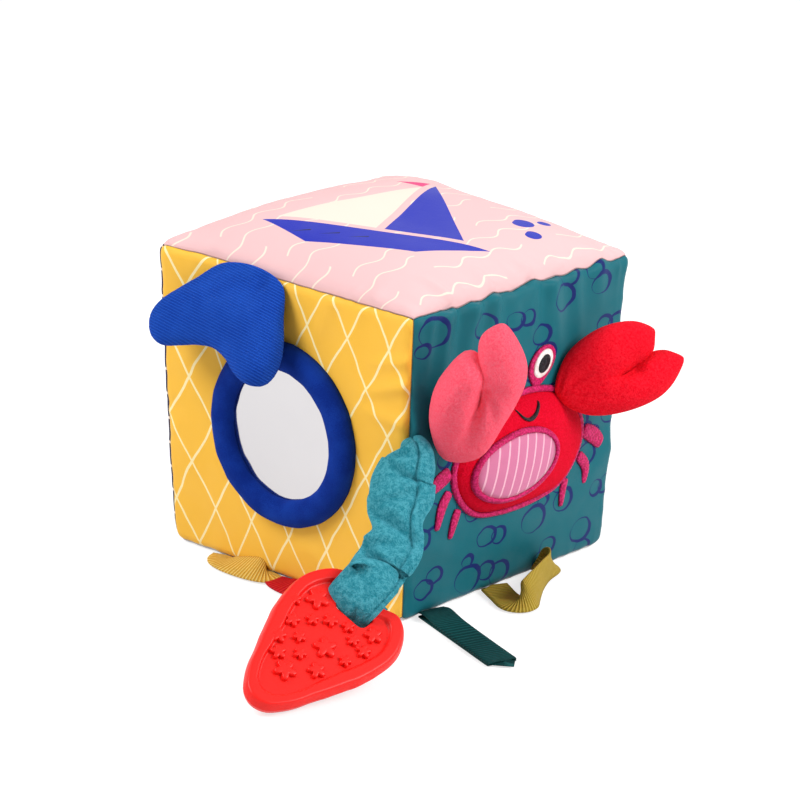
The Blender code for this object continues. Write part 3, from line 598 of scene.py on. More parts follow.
def noiseAt(*spot):
    return noise.noise(Vector(spot))


def ridged(*spot):
    return 1 - 2 * abs(noiseAt(*spot))


def signOf(value):
    return 1 if value > 0 else -1


def eased(share):
    # from -1 to 1, with closer steps at both ends
    return sin(pi / 2 * (2 * share - 1))


# Cover: six panels, sewn at the edges of a rounded cube

# leftBulge is how far the left top edge stands out, forward and up; backBulge how far back and up
block = {"side": 0.15, "edgeRadius": 0.006, "topCrown": 0.014, "sideCrown": 0.0035, "topFullness": 4,
    "sideFullness": 2, "topFlare": 0.0023, "leanStart": 0.6, "leftBulge": (0.0065, 0.0045, 0.002),
    "backBulge": (0.003, 0.0055), "bulgeFade": 0.6}
cloth = {"cells": 150, "hiddenCells": 80, "reach": 0.9985, "thick": 0.0006, "seamDip": 0.0005,
    "seamReach": 0.0013, "softPucker": 0.0005, "topPucker": 0.0021, "puckerReach": 0.009, "puckers": 120,
    "seamWander": 0.0034, "wanders": 78, "wanderReach": 0.006, "flatEdge": 0.014, "swell": 0.0007,
    "leftSeamShift": 0.042,
    # side of each panel's flat piece of cloth, in millimetres, from its area on the block
    "flat": {"top": 163, "front": 151, "right": 151.5, "left": 154.5, "back": 154, "bottom": 148},
    # extra rise of the top in millimetres, as (share across, share along, rise, reach)
    "topRise": ((-0.75, -0.05, 3.4, 0.5), (-1.0, 0.72, -2.4, 0.26), (-0.62, 1.0, 2.2, 0.24))}
# folds as (across, level) of their start and end, width and height, in millimetres
clothFolds = {
    "right": ((-55, 151, -60, 92, 5.0, 3.6), (-67, 151, -68, 118, 3.0, 2.2), (-35, 150, -45, 108, 4.6, 2.6),
        (-21, 151, -25, 116, 4.4, 3.2), (-7, 150, -8, 120, 3.4, 1.6), (4, 149, 3, 114, 4.6, 2.2),
        (20, 150, 23, 98, 6.0, 3.2), (37, 148, 42, 108, 4.6, 1.3), (53, 150, 57, 124, 5.0, 1.5),
        (-45, 148, -52, 108, 4.0, -0.9), (-29, 148, -33, 116, 3.0, -0.8), (12, 148, 13, 110, 3.8, -0.8),
        (33, 148, 34, 112, 4.0, -0.7), (-74, 96, -50, 68, 5.0, 1.8), (-70, 40, -28, 20, 6.0, 1.3),
        (72, 52, 38, 24, 7.0, 1.3)),
    "front": ((73, 116, 44, 106, 3.2, 2.0), (74, 98, 42, 100, 3.6, 2.0), (74, 128, 50, 122, 3.0, 1.6),
        (28, 151, 18, 116, 4.4, 1.8), (46, 151, 40, 124, 4.2, 1.5), (74, 62, 60, 50, 3.4, 1.2),
        (-70, 60, -52, 38, 6.0, 1.3), (16, 24, 38, 10, 6.0, 1.2), (62, 72, 52, 26, 6.0, 1.4)),
    "top": ((74, -48, 56, -50, 3.0, 1.6), (74, -22, 60, -20, 2.8, 1.4), (74, 6, 61, 8, 3.4, 1.5),
        (74, 30, 60, 28, 3.0, 1.1), (-50, -74, -46, -58, 5.0, 0.8), (50, -74, 46, -56, 5.0, 0.9)),
    "left": ((0, 150, 4, 118, 6.0, 1.2), (40, 150, 36, 124, 5.0, 1.2), (-46, 10, -30, 34, 6.0, 0.9)),
    "back": ((-30, 150, -34, 120, 6.0, 1.3), (24, 150, 20, 118, 6.0, 1.2), (60, 12, 40, 34, 6.0, 0.9))}
# where the mirror and the crab lie, the cloth is flat: middle, and the radii where that ends
flatZones = {"front": ((0.001, 0.0755), 0.046, 0.06), "right": ((-0.0006, 0.068), 0.047, 0.058)}
half = block["side"] / 2


def crownOf(axis, sign):
    if axis == 2:
        return block["topCrown"] if sign > 0 else 0
    return block["sideCrown"]


def bulgeAt(share, level):
    # the left and back top edges stand out and up
    height = min(1.0, max(0.0, level / block["side"]))
    left, front, back = (smooth(s, block["leanStart"], 1) for s in (-share[0], -share[1], share[1]))
    rising = height**block["bulgeFade"]
    lifted = smooth(height, 0.3, 1)
    upLeft, upBack = (smooth(s, 0, 1) for s in (-share[0], share[1]))
    out, forward, rise = block["leftBulge"]
    extra = sum(high / 1000 * exp(-((share[0] - x) / reach)**2 - ((share[1] - y) / reach)**2)
        for x, y, high, reach in cloth["topRise"])
    return Vector((-out * rising * left,
        block["backBulge"][0] * height * back - forward * rising * left * front,
        lifted * (extra + rise * upLeft + block["backBulge"][1] * upBack * smooth(-share[0], -1, 0.2))))


def coverPoint(share, lift=0.0):
    # a point of the cover for a point of the unit cube's surface
    radius = block["edgeRadius"]
    flat = half - radius
    onFlat = Vector([max(-flat, min(flat, s * half)) for s in share])
    out = (Vector(share) * half - onFlat).normalized()
    spot = onFlat + out * (radius + lift)
    for axis in range(3):
        if abs(share[axis]) > 0.9999:
            one, two = (abs(share[i]) for i in range(3) if i != axis)
            full = block["topFullness"] if axis == 2 else block["sideFullness"]
            spot[axis] += share[axis] * crownOf(axis, share[axis]) * (1 - one**full) * (1 - two**full)
    widen = 1 + block["topFlare"] / half * (spot.z + half) / block["side"]
    return Vector((spot.x * widen, spot.y * widen, spot.z + half)) + bulgeAt(share, spot.z + half)


def foldedBy(x, y, lines):
    # ridges and creases along short lines, strongest where they start
    total = 0.0
    for x1, y1, x2, y2, width, height in lines:
        runX, runY = x2 - x1, y2 - y1
        t = min(1.0, max(0.0, ((x - x1) * runX + (y - y1) * runY) / (runX * runX + runY * runY)))
        away = hypot(x - x1 - runX * t, y - y1 - runY * t)
        if away < 3 * width:
            total += height * exp(-(away / width)**2) * (1 - t)**0.8
    return total / 1000


def seamShift(level):
    # the left panel reaches a little round the corner, most at half height
    return cloth["leftSeamShift"] * (1 - level**4)


def slideFront(a, b):
    shift = seamShift(b)
    return -1 + shift + (a + 1) * (2 - shift) / 2


def wrapLeft(a, b):
    reach = a + seamShift(b) * (a + 1) / 2
    return (-1, -reach, b) if reach < 1 else (reach - 2, -1, b)


def wrinkle(share, name):
    # how far the cloth stands off its plain shape, and how far its seam wanders up or down
    axis = max(range(3), key=lambda i: abs(share[i]))
    spot = coverPoint(share)
    height = 0.0
    wander = 0.0
    inner = 1.0
    toSeam = half
    for other in range(3):
        if other == axis:
            continue
        third = 3 - axis - other
        away = half * (1 - abs(share[other]))
        if other < 2 and axis < 2 and share[0] < 0 and share[1] < 0:
            shift = half * seamShift(share[2])
            away = away + shift if axis == 0 else abs(away - shift)
        toSeam = min(toSeam, away)
        # one number for each of the cube's edges, the same from both of its sides
        edge = (axis + 1) * signOf(share[axis]) * (other + 1) * signOf(share[other])
        topRight = {(axis, share[axis] > 0), (other, share[other] > 0)} == {(0, True), (2, True)}
        amount = cloth["topPucker"] if topRight else cloth["softPucker"]
        along = spot[third]
        pucker = ridged(along * cloth["puckers"], edge * 3.7, 0.5)
        height += amount * exp(-away / cloth["puckerReach"]) * pucker
        height -= cloth["seamDip"] * exp(-(away / cloth["seamReach"])**2)
        if topRight:
            uneven = noiseAt(along * cloth["wanders"], 5.1, 0)
            wander += cloth["seamWander"] * exp(-away / cloth["wanderReach"]) * uneven
        inner = min(inner, smooth(away, 0, cloth["flatEdge"]))
    soft = noiseAt(spot.x * 22, spot.y * 22, spot.z * 30 + axis)
    height += cloth["swell"] * soft * inner
    pairs = {"top": (spot.x, spot.y), "front": (spot.x, spot.z), "back": (-spot.x, spot.z),
        "right": (spot.y, spot.z), "left": (-spot.y, spot.z)}
    if name in clothFolds:
        across, along = pairs[name]
        height += foldedBy(across * 1000, along * 1000, clothFolds[name]) * smooth(toSeam, 0, 0.004)
    zone = flatZones.get(name)
    if zone:
        distance = hypot(across - zone[0][0], spot.z - zone[0][1])
        height *= smooth(distance, zone[1], zone[2])
    return height, wander


def makeCover(name, toShare, look, cells, slide=None):
    def at(u, v):
        one, two = (eased(c) * cloth["reach"] for c in (u, v))
        share = toShare(slide(one, two) if slide else one, two)
        height, wander = wrinkle(share, name)
        return coverPoint(share, height) + up * wander

    bm = sheetMesh(cells, cells, at)
    uvs = bm.loops.layers.uv["cloth"]
    for face in bm.faces:
        for loop in face.loops:
            one, two = (eased(c) for c in loop[uvs].uv)
            one = slide(one, two) if slide else one
            loop[uvs].uv = ((one + 1) / 2, (two + 1) / 2)
    title = "cover" + name.capitalize()
    panel = finishPiece(title, bm, "block", ["panel_" + name], look, closed=False)
    thicken(panel, cloth["thick"], -1)


def makeCovers():
    seen, hidden = cloth["cells"], cloth["hiddenCells"]
    makeCover("top", lambda a, b: (a, b, 1), satin("pinkSatin", paintBoat), seen)
    makeCover("front", lambda a, b: (a, -1, b), satin("yellowSatin", paintLattice), seen,
        slideFront)
    makeCover("right", lambda a, b: (1, a, b), satin("tealSatin", paintRings), seen)
    makeCover("left", wrapLeft, satin("navyLinedSatin", paintLines), hidden)
    makeCover("back", lambda a, b: (-a, 1, b), satin("navySatin", paintPlain("navy")), hidden)
    makeCover("bottom", lambda a, b: (a, -b, -1), satin("greyCotton", paintPlain("grey"), 0.0009, 0.8),
        hidden)
    print("covers made")


def onFront(across, level, lift):
    widen = 1 + block["topFlare"] / half * level / block["side"]
    one, two = across / (half * widen), level / half - 1
    rise = block["sideCrown"] * (1 - one**2) * (1 - two**2)
    return Vector((across, -(half + rise) * widen - lift, level))


def onRight(across, level, lift):
    spot = onFront(across, level, lift)
    return Vector((-spot.y, spot.x, spot.z))


# Mirror

mirror = {"across": 0.001, "level": 0.0755, "inner": 0.0315, "outer": 0.0452, "rise": 0.0068,
    "lump": 0.0003, "lumps": 5, "crease": 0.001, "creases": 3.2, "creaseLean": 0.7, "creaseTurn": 3.3,
    "creaseSpread": (0.9, 0.1), "roundness": 0.8, "under": 0.0016, "underTo": 0.35, "gap": 0.0003,
    "cells": (160, 24), "fill": 0.8}


def makeMirror():
    middle, band = (mirror["outer"] + mirror["inner"]) / 2, (mirror["outer"] - mirror["inner"]) / 2

    def at(u, v):
        turn, way = 2 * pi * u, 2 * pi * v
        ring = Vector((cos(turn), sin(turn)))
        lump = mirror["lump"] * noiseAt(*(ring * mirror["lumps"]), sin(way))
        crease = ridged(turn * mirror["creases"] + cos(way) * mirror["creaseLean"], 4.4, 0)
        crease = mirror["crease"] * max(0, crease)
        crease *= smooth(abs(turn - mirror["creaseTurn"]), *mirror["creaseSpread"])
        reach = middle + (band + lump) * cos(way)
        domed = max(0.0, sin(way))**mirror["roundness"]
        lift = mirror["gap"] + domed * (mirror["rise"] + lump * 1.5 - crease)
        if sin(way) < 0 and cos(way) < mirror["underTo"]:
            lift = mirror["under"]
        return onFront(mirror["across"] + reach * ring.x, mirror["level"] + reach * ring.y, lift)

    ring = sheetMesh(*mirror["cells"], at, around=True)
    piece = finishPiece("mirrorRing", weld(ring), "block", ["mirror_ring"], velourDeep)
    print("mirror made")


# Crab: its belly is given as across, level, half width, half height and tilt

crab = {"across": -0.0006, "level": 0.068, "halfWidth": 0.045, "rise": 0.0112,
    "shares": (0.57, 0.645, 0.87, 1.0, 0.86, 0.69, 0.64),
    "border": 0.0032, "borderRise": 0.0018, "belly": (-0.0135, 0.0672, 0.025, 0.015, 5),
    "bellyBand": 0.0027, "bellyBandRise": 0.0017, "patch": 0.001, "gap": 0.0003, "soft": 0.0006,
    "lumps": 60, "roundness": 2.3, "cells": (128, 26), "fill": 0.7}
crabFace = {"middle": -0.004, "spread": 0.0162, "eyeLevel": 0.1096, "mouthLevel": 0.0942,
    "mouthHalf": 0.0083, "mouthDrop": 0.0064, "lean": 0.34,
    "mouthCurve": ((-1, 0.12), (-0.62, 0.76), (-0.15, 1.0), (0.35, 0.8), (0.72, 0.42), (1, 0)),
    "mouthWidths": (0.0006, 0.0014, 0.0019, 0.0014, 0.0006),
    # an eye's cut from the middle of its top to the middle of its underside: share of its width, 1 for
    # the top or 0 for the underside, and extra rise
    "eyeCut": ((0, 1, 0.0002), (0.35, 1, 0.0002), (0.7, 1, 0.0001), (0.95, 1, 0), (1, 0, 0), (0.7, 0, 0),
        (0, 0, 0)),
    "eyeTeeth": (1.02, 0.985), "eyeColumns": 96,
    # part, half width, half height, underside, top, material, slot and how far its foot hangs down
    "eye": (("eye_stalk", 0.0095, 0.0083, 0.0003, 0.0013, threadMagenta, "magenta_thread", 0.003),
        ("eye_white", 0.0066, 0.0066, 0.0012, 0.002, threadCream, "white_thread", 0),
        ("eye_pupil", 0.004, 0.0043, 0.0019, 0.0026, threadBlack, "black_thread", 0)),
    # legs as points (across, level) in millimetres, from the border outwards
    "legs": {"leg_left_1": ((-49.4, 69.5), (-54.5, 67.3), (-61.4, 63.5)),
        "leg_left_2": ((-49.0, 60.4), (-53.4, 53.2), (-56.3, 42.0)),
        "leg_left_3": ((-42.4, 50.0), (-44.5, 44.1), (-47.0, 35.7)),
        "leg_right_1": ((48.4, 67.5), (57.4, 62.5), (65.1, 56.4)),
        "leg_right_2": ((45.6, 55.6), (52.6, 47.7), (52.3, 38.5)),
        "leg_right_3": ((36.8, 45.6), (35.4, 40.0), (34.8, 31.1))},
    "legWidths": {"1": (0.0072, 0.0088, 0.007), "2": (0.0056, 0.0062, 0.003),
        "3": (0.0048, 0.005, 0.0028)}}


def polar(shares, turn):
    turn = abs((turn + pi) % (2 * pi) - pi)
    mirrored = shares[1:2] + shares + shares[-2:-1]
    last = len(shares) - 1
    at = turn / pi * last
    step = min(int(at), last - 1)
    return between(*mirrored[step:step + 4], at - step)


def crabReach(turn):
    return crab["halfWidth"] * polar(crab["shares"], turn)


def crabDome(across, level):
    one, two = across - crab["across"], level - crab["level"]
    share = min(1.0, hypot(one, two) / crabReach(atan2(one, -two)))
    soft = crab["soft"] * noiseAt(across * crab["lumps"], level * crab["lumps"], 3)
    return crab["gap"] + (crab["rise"] + soft) * sqrt(1 - share**crab["roundness"])


def crabSpot(turn, reach):
    return crab["across"] + reach * sin(turn), crab["level"] - reach * cos(turn)


def makeCrab():
    def body(u, v):
        turn = 2 * pi * u
        spot = crabSpot(turn, crabReach(turn) * sin(pi / 2 * v))
        return onRight(*spot, crabDome(*spot))

    bm = sheetMesh(*crab["cells"], body, around=True)
    middle = Vector((crab["across"], crab["level"]))
    rim = [e for e in bm.edges if e.is_boundary and (e.verts[0].co.yz - middle).length > 0.01]
    bmesh.ops.edgeloop_fill(bm, edges=rim)
    weld(bm)
    piece = finishPiece("crabBody", bm, "block", ["crab_body"], plushCrimson)

    def border(turn, extra, lift):
        return onRight(*crabSpot(turn, crabReach(turn) + extra), lift)

    stitchedBand("crabBorder", "crab_border", border, crab["border"], crab["borderRise"], 300)
    across0, level0, wide, high, tilt = crab["belly"]
    tilt = radians(tilt)

    def onBelly(turn, share, extra, lift):
        one, two = (wide * share + extra) * cos(turn), (high * share + extra) * sin(turn)
        across = across0 + one * cos(tilt) - two * sin(tilt)
        level = level0 + one * sin(tilt) + two * cos(tilt)
        return onRight(across, level, crabDome(across, level) + lift)

    rows = [(share, crab["patch"]) for share in (0, 0.3, 0.6, 0.85)] + [(1, crab["patch"] * 0.8)]
    rows += [(share, 0.0001) for share in (1, 0.6, 0.3, 0)]

    def patch(u, v):
        share, lift = rows[round(v * (len(rows) - 1))]
        return onBelly(2 * pi * u, share, 0, lift)

    bm = sheetMesh(72, len(rows) - 1, patch, around=True)
    finishPiece("bellyPatch", weld(bm), "block", ["belly_patch"], bellyStripes)

    def patchEdge(turn, extra, lift):
        return onBelly(turn, 1, extra, lift)

    stitchedBand("bellyStitching", "belly_stitching", patchEdge, crab["bellyBand"], crab["bellyBandRise"],
        220)


# threads end further out and further in by turns
stitch = {"out": 0.00025, "in": 0.0001, "thread": 0.00022, "gap": 0.0002, "roundness": 0.7,
    "long": 1.05, "short": 0.93, "blunt": 14}


def stitchedBand(name, node, at, width, rise, count):
    # a satin-stitched band: zigzag threads with ragged edges
    def point(u, v):
        turn, way = 2 * pi * u, 2 * pi * v
        odd = round(u * count) % 2
        tooth = stitch["out"] if odd else -stitch["in"]
        wide = (0.5 - 0.5 * cos(way)) * width
        thread = stitch["thread"] if odd else 0
        lift = stitch["gap"] + max(0.0, sin(way))**stitch["roundness"] * (rise + thread)
        return at(turn, wide - tooth * cos(way), lift)

    bm = sheetMesh(count, 12, point, around=True)
    finishPiece(name, weld(bm), "block", [node], threadMagenta)


def sewnStrip(name, node, points, widths, ground, look, columns=36, rise=0.0012):
    def point(u, v):
        way = 2 * pi * v
        here = spline(points, u)
        ahead = wayAlong(points, u).normalized()
        side = Vector((ahead.y, -ahead.x))
        tooth = stitch["long"] if round(u * columns) % 2 else stitch["short"]
        cap = sqrt(max(0.0, 1 - abs(2 * u - 1)**stitch["blunt"]))
        width = curveValue(widths, u) / 2 * cap * tooth
        across, level = here + side * width * cos(way)
        lift = ground(across, level) + max(0.0, sin(way)) * rise * cap
        return onRight(across, level, lift)

    bm = sheetMesh(columns, 10, point)
    finishPiece(name, weld(bm, 0.00001), "block", [node], look)


def makeFace():
    def onCover(across, level):
        return crab["gap"]

    def onBody(across, level):
        return crabDome(across, level) + 0.0001

    wide, deep = crabFace["mouthHalf"], crabFace["mouthDrop"]
    curve = [(crabFace["middle"] + wide * across, crabFace["mouthLevel"] - deep * low)
        for across, low in crabFace["mouthCurve"]]
    sewnStrip("mouthStitch", "mouth_stitch", curve, crabFace["mouthWidths"], onBody, threadBlack)
    for name, sign in (("left", -1), ("right", 1)):
        centre = crabFace["middle"] + sign * crabFace["spread"]
        for part, wide, high, low, top, look, slot, drop in crabFace["eye"]:
            def point(u, v):
                turn = 2 * pi * u
                share, onTop, extra = crabFace["eyeCut"][round(v * 6)]
                lift = (top if onTop else low) + extra
                longer, shorter = crabFace["eyeTeeth"]
                tooth = longer if round(u * crabFace["eyeColumns"]) % 2 else shorter
                tooth = tooth if share > 0.9 else 1
                level = crabFace["eyeLevel"] + high * share * tooth * sin(turn)
                level -= drop * share * max(0.0, -sin(turn))**6
                leaning = sign * crabFace["lean"] * (level - crabFace["eyeLevel"])
                return onRight(centre + wide * share * tooth * cos(turn) + leaning, level, lift)

            bm = sheetMesh(crabFace["eyeColumns"], 6, point, around=True)
            finishPiece("".join((part[:3], part[4:].capitalize(), name.capitalize())), weld(bm), "block",
                [f"{part}_{name}"], look)
    for node, points in crabFace["legs"].items():
        side, number = node.split("_")[1:]
        points = [(x / 1000, y / 1000) for x, y in points]
        sewnStrip("leg" + side.capitalize() + number, node, points, crabFace["legWidths"][number], onCover,
            threadMagenta, 24, 0.0013)
    print("crab made")


# Claws and tail: each is a strip that runs from one tip round the inside of the fork to the other
# outer and inner are its outlines in shares of length and width, from the first tip to the second
# creases run from place to place in the same shares, with width and height in millimetres

forks = {
    "clawRight": {
        "node": "claw_right", "joint": "claw_right_swing", "length": 0.064, "width": 0.04, "thick": 0.0132,
        "along": (0.451, 0.782, 0.431), "front": (0.694, -0.611, 0.382), "root": 0.45, "taper": 0.5,
        "outer": ((0.835, 0.235), (0.66, 0.425), (0.42, 0.5), (0.15, 0.4), (-0.05, 0.07),
            (0.05, -0.29), (0.3, -0.5), (0.63, -0.56), (0.925, -0.385)),
        "inner": ((0.8, 0.07), (0.73, -0.05), (0.65, -0.1), (0.56, -0.125), (0.48, -0.135),
            (0.56, -0.1), (0.65, -0.06), (0.77, -0.055), (0.925, -0.185)),
        "creases": ((0.54, -0.13, 0.28, -0.2, 2.2, -2.9), (0.58, -0.1, 0.52, -0.36, 3.0, -2.0),
            (0.56, -0.16, 0.3, -0.06, 2.4, -1.2),
            (-0.05, 0.1, 0.16, 0.05, 1.6, -1.4), (-0.05, -0.08, 0.12, -0.12, 1.6, -1.2),
            (0.3, 0.1, 0.6, 0.2, 7.0, 1.0)),
        "lead": 0.0034, "cap": 0.16, "backShare": 0.86, "slot": "red_plush", "look": plushRed},
    "clawLeft": {
        "node": "claw_left", "joint": "claw_left_swing", "length": 0.079, "width": 0.043, "thick": 0.0134,
        "along": (0.259, -0.299, 0.918), "front": (0.606, -0.69, -0.396), "root": 1, "taper": 0.5,
        "outer": ((0.575, 0.165), (0.43, 0.32), (0.25, 0.46), (0.02, 0.475), (-0.21, 0.32),
            (-0.19, -0.06), (0.06, -0.305), (0.42, -0.515), (0.765, -0.35)),
        "inner": ((0.575, -0.005), (0.5, -0.075), (0.43, -0.095), (0.37, -0.088), (0.32, -0.07),
            (0.4, -0.04), (0.52, 0.005), (0.66, -0.005), (0.78, -0.12)),
        "creases": ((0.38, -0.07, -0.02, 0.08, 2.4, -3.2), (0.4, -0.16, 0.3, -0.42, 4.0, -1.5),
            (0.33, -0.14, 0.12, -0.2, 2.6, -1.8), (0.2, 0.02, -0.02, 0.16, 2.2, -1.2),
            (0.3, 0.22, 0.05, 0.26, 7.0, 1.0)),
        # the left claw takes the red plush with painted light
        "lead": 0.0046, "cap": 0.17, "backShare": 0.88, "slot": "red_plush", "look": plushPink},
    "tail": {
        "node": "tail", "joint": "tail_lift", "length": 0.054, "width": 0.084, "thick": 0.009,
        "along": (0, -0.5446, -0.8387), "front": (0, -0.8387, 0.5446), "root": 0.24, "taper": 0.55,
        "outer": ((0.85, 0.28), (0.63, 0.27), (0.35, 0.19), (0.07, 0.1), (-0.03, -0.13),
            (0.02, -0.37), (0.22, -0.51), (0.44, -0.64), (0.63, -0.72)),
        "inner": ((0.955, 0.24), (0.97, 0.136), (0.92, 0.036), (0.82, -0.07), (0.76, -0.2),
            (0.78, -0.33), (0.83, -0.45), (0.87, -0.565), (0.82, -0.665)),
        "creases": ((0.02, -0.05, 0.22, -0.02, 3.0, -2.6), (0.72, 0.26, 0.6, 0.2, 3.0, -1.4),
            (0.1, -0.36, 0.34, -0.46, 2.4, -1.2), (0.3, -0.2, 0.62, -0.34, 8.0, 0.8)),
        "lead": 0, "cap": 0.05, "backShare": 1, "slot": "blue_velour", "look": velourBlue}}
# blunt numbers say how squarely the form ends across its strip and along it; tipsThinner is a share
pelt = {"fill": 0.75, "soft": 0.0008, "lumps": 55, "gather": 0.0016, "gathers": 3.1, "gatherReach": 0.016,
    "fuzz": 0.00022, "fineness": 760, "bluntAcross": 2.6, "bluntAlong": 6, "tipsThinner": 0.2,
    "leadLost": 0.75, "blend": 0.01, "columns": 150, "rows": 48}


def makeFork(name):
    form = forks[name]
    origin = hinges[form["joint"]]
    along = Vector(form["along"]).normalized()
    front = Vector(form["front"])
    front = (front - along * front.dot(along)).normalized()
    side = front.cross(along)
    long, wide = form["length"], form["width"]
    outer, inner = ([(x * long, y * wide) for x, y in form[key]] for key in ("outer", "inner"))
    long, wide = long * 1000, wide * 1000
    creases = [(a * long, b * wide, c * long, d * wide, *rest) for a, b, c, d, *rest in form["creases"]]

    def face(sign):
        def at(p, q):
            u, v = eased(p), eased(q)
            rounded = form["cap"] * (1 - sqrt(max(0.0, 1 - v * v))) * smooth(abs(u), 0.4, 1)
            share = (u * (1 - rounded) + 1) / 2
            flat = spline(inner, share) * (1 - v) / 2 + spline(outer, share) * (1 + v) / 2
            swell = sqrt(max(0.0, 1 - abs(v)**pelt["bluntAcross"]))
            swell *= sqrt(max(0.0, 1 - abs(u)**pelt["bluntAlong"]))
            swell *= 1 - pelt["tipsThinner"] * u * u
            thin = form["root"] + (1 - form["root"]) * smooth(flat.x / form["length"], 0, form["taper"])
            soft = noiseAt(*flat * pelt["lumps"], sign * 2.0 + len(name))
            gather = ridged(atan2(flat.y, flat.x + 0.004) * pelt["gathers"], sign * 1.5, len(name))
            pinch = pelt["gather"] * gather * exp(-abs(flat.x) / pelt["gatherReach"]) * (form["root"] < 1)
            dents = foldedBy(flat.x * 1000, flat.y * 1000, creases) if sign > 0 else 0
            fuzz = pelt["fuzz"] * noiseAt(*flat * pelt["fineness"], sign * 3.0)
            thick = form["thick"] * (1 if sign > 0 else form["backShare"])
            height = (thick * thin + pelt["soft"] * soft + pinch + dents) * swell + fuzz * min(1, swell * 3)
            lead = form["lead"] * max(0, -u) * (1 if sign > 0 else 1 - pelt["leadLost"] * swell)
            return origin + along * flat.x + side * flat.y + front * (sign * height + lead)
        return at

    bm, back = (sheetMesh(pelt["columns"], pelt["rows"], face(sign)) for sign in (1, -1))
    mesh = bpy.data.meshes.new("half")
    back.to_mesh(mesh)
    back.free()
    bm.from_mesh(mesh)
    bpy.data.meshes.remove(mesh)
    weld(bm, 0.00001)
    nodes = [form["node"] + "_front_skin", form["node"] + "_back_skin"]
    body = None if name == "tail" else form["node"]
    piece = finishPiece(name, bm, body, nodes, form["look"])
    if name == "tail":
        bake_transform(piece)
    print(name, "made")


# Strap and teether

# shares are places on the strap's route, as shares of reach, side and drop
strap = {"reach": 0.0515, "drop": 0.0605, "side": 0.0045, "turn": -68.8, "thick": 0.0064,
    "loopHalf": 0.0082, "loopThick": 0.0019, "loopOuter": 0.0034, "loopRadius": 0.0068, "lap": 0.012,
    "lumpLast": 0.0054, "seamDip": 0.0022, "seamAt": 0.28, "seamLean": 0.45, "seamReach": 0.07,
    "uneven": 0.12, "lumps": 14, "soft": 0.05, "fuzz": 0.012, "fineness": (190, 9), "mostGathered": 0.85,
    "startThick": 0.45, "startReach": 0.15, "fill": 0.35, "blend": 0.008, "columns": 112,
    # where it narrows on its way round the bar, on the left and the right, and where its inside thins
    "narrowLeft": (0.24, 0.47), "narrowRight": (0.02, 0.3), "thinInside": (0.8, 0.97),
    "shares": ((0, 0, 0), (0.08, 0.8, 0.05), (0.16, 0.9, 0.13), (0.23, 0.6, 0.235), (0.35, 0.9, 0.37),
        (0.5, 1.0, 0.5), (0.66, 1.1, 0.63), (0.8, 0.5, 0.76)),
    # half widths in millimetres, at even steps from the seam to the bar
    "left": (4.0, 6.5, 10.4, 13.4, 14.6, 15.9, 16.2, 14.8, 10.2, 13.0, 11.6, 14.4, 16.5),
    "right": (6.5, 8.0, 10.0, 11.8, 14.0, 15.1, 13.8, 11.6, 13.6, 15.6, 14.6, 13.8, 9.0),
    # gathers between the lumps as place, lean across the strap, depth as a share, and reach
    "folds": ((0.205, -0.05, 0.3, 0.034), (0.345, 0.06, 0.34, 0.034), (0.5, -0.08, 0.26, 0.03),
        (0.655, 0.075, 0.74, 0.036), (0.76, -0.05, 0.34, 0.028), (0.868, 0.06, 0.84, 0.028))}
# shares are the heart's reach round its centre, over half its width
# slot is its near end, far end and half width
teether = {"heading": -87.0, "pitch": 17.3, "roll": -32.0, "halfWidth": 0.0285, "centre": 0.03,
    "plate": 0.0022, "rim": 0.0041, "rimWidth": 0.0078, "rimRound": 0.003,
    "slot": (0.0032, 0.0128, 0.0088), "starRise": 0.002, "starSides": 50,
    "rimFall": (0.0004, 0.0008), "edgeHalf": 0.0002, "cells": (220, 120),
    "shares": (1.72, 1.66, 1.49, 1.32, 1.165, 1.067, 1.004, 0.954, 0.926, 0.912, 0.919, 0.93, 0.947, 0.982,
        1.025, 1.088, 1.158, 1.228, 1.288, 1.347, 1.389, 1.379, 1.249, 1.172, 1.158),
    # raised stars as (along, across) from the bar, size across and turn, in millimetres and degrees
    "stars": ((24.7, -21.6, 5.4, 10), (16.4, -15.2, 9.4, 35), (33.8, -15.5, 6.4, 60), (26.7, -9.6, 5.2, 5),
        (20.6, -3.9, 6.0, 48), (17.0, 3.6, 5.2, 80), (11.6, 14.0, 7.4, 20), (45.0, -14.2, 6.6, 0),
        (38.3, -7.5, 5.2, 33), (20.8, 9.6, 5.2, 62), (51.6, -8.6, 6.4, 15), (44.7, -1.7, 5.2, 50),
        (33.4, 3.7, 9.4, 12), (21.5, 16.5, 6.0, 70), (56.2, -0.6, 9.0, 40), (45.5, 8.8, 7.2, 25),
        (32.0, 14.2, 5.0, 55))}

strapHeading = Vector((cos(radians(strap["turn"])), sin(radians(strap["turn"])), 0))
strapSide = Vector((-strapHeading.y, strapHeading.x, 0))
strapRoot = hinges["strap_swing"]
barPlace = hinges["teether_turn"]
heading, pitch, roll = (radians(teether[key]) for key in ("heading", "pitch", "roll"))
tipWay = Vector((cos(heading) * cos(pitch), sin(heading) * cos(pitch), -sin(pitch)))
widthWay = Matrix.Rotation(roll, 3, tipWay) @ Vector((-sin(heading), cos(heading), 0))
faceWay = tipWay.cross(widthWay)


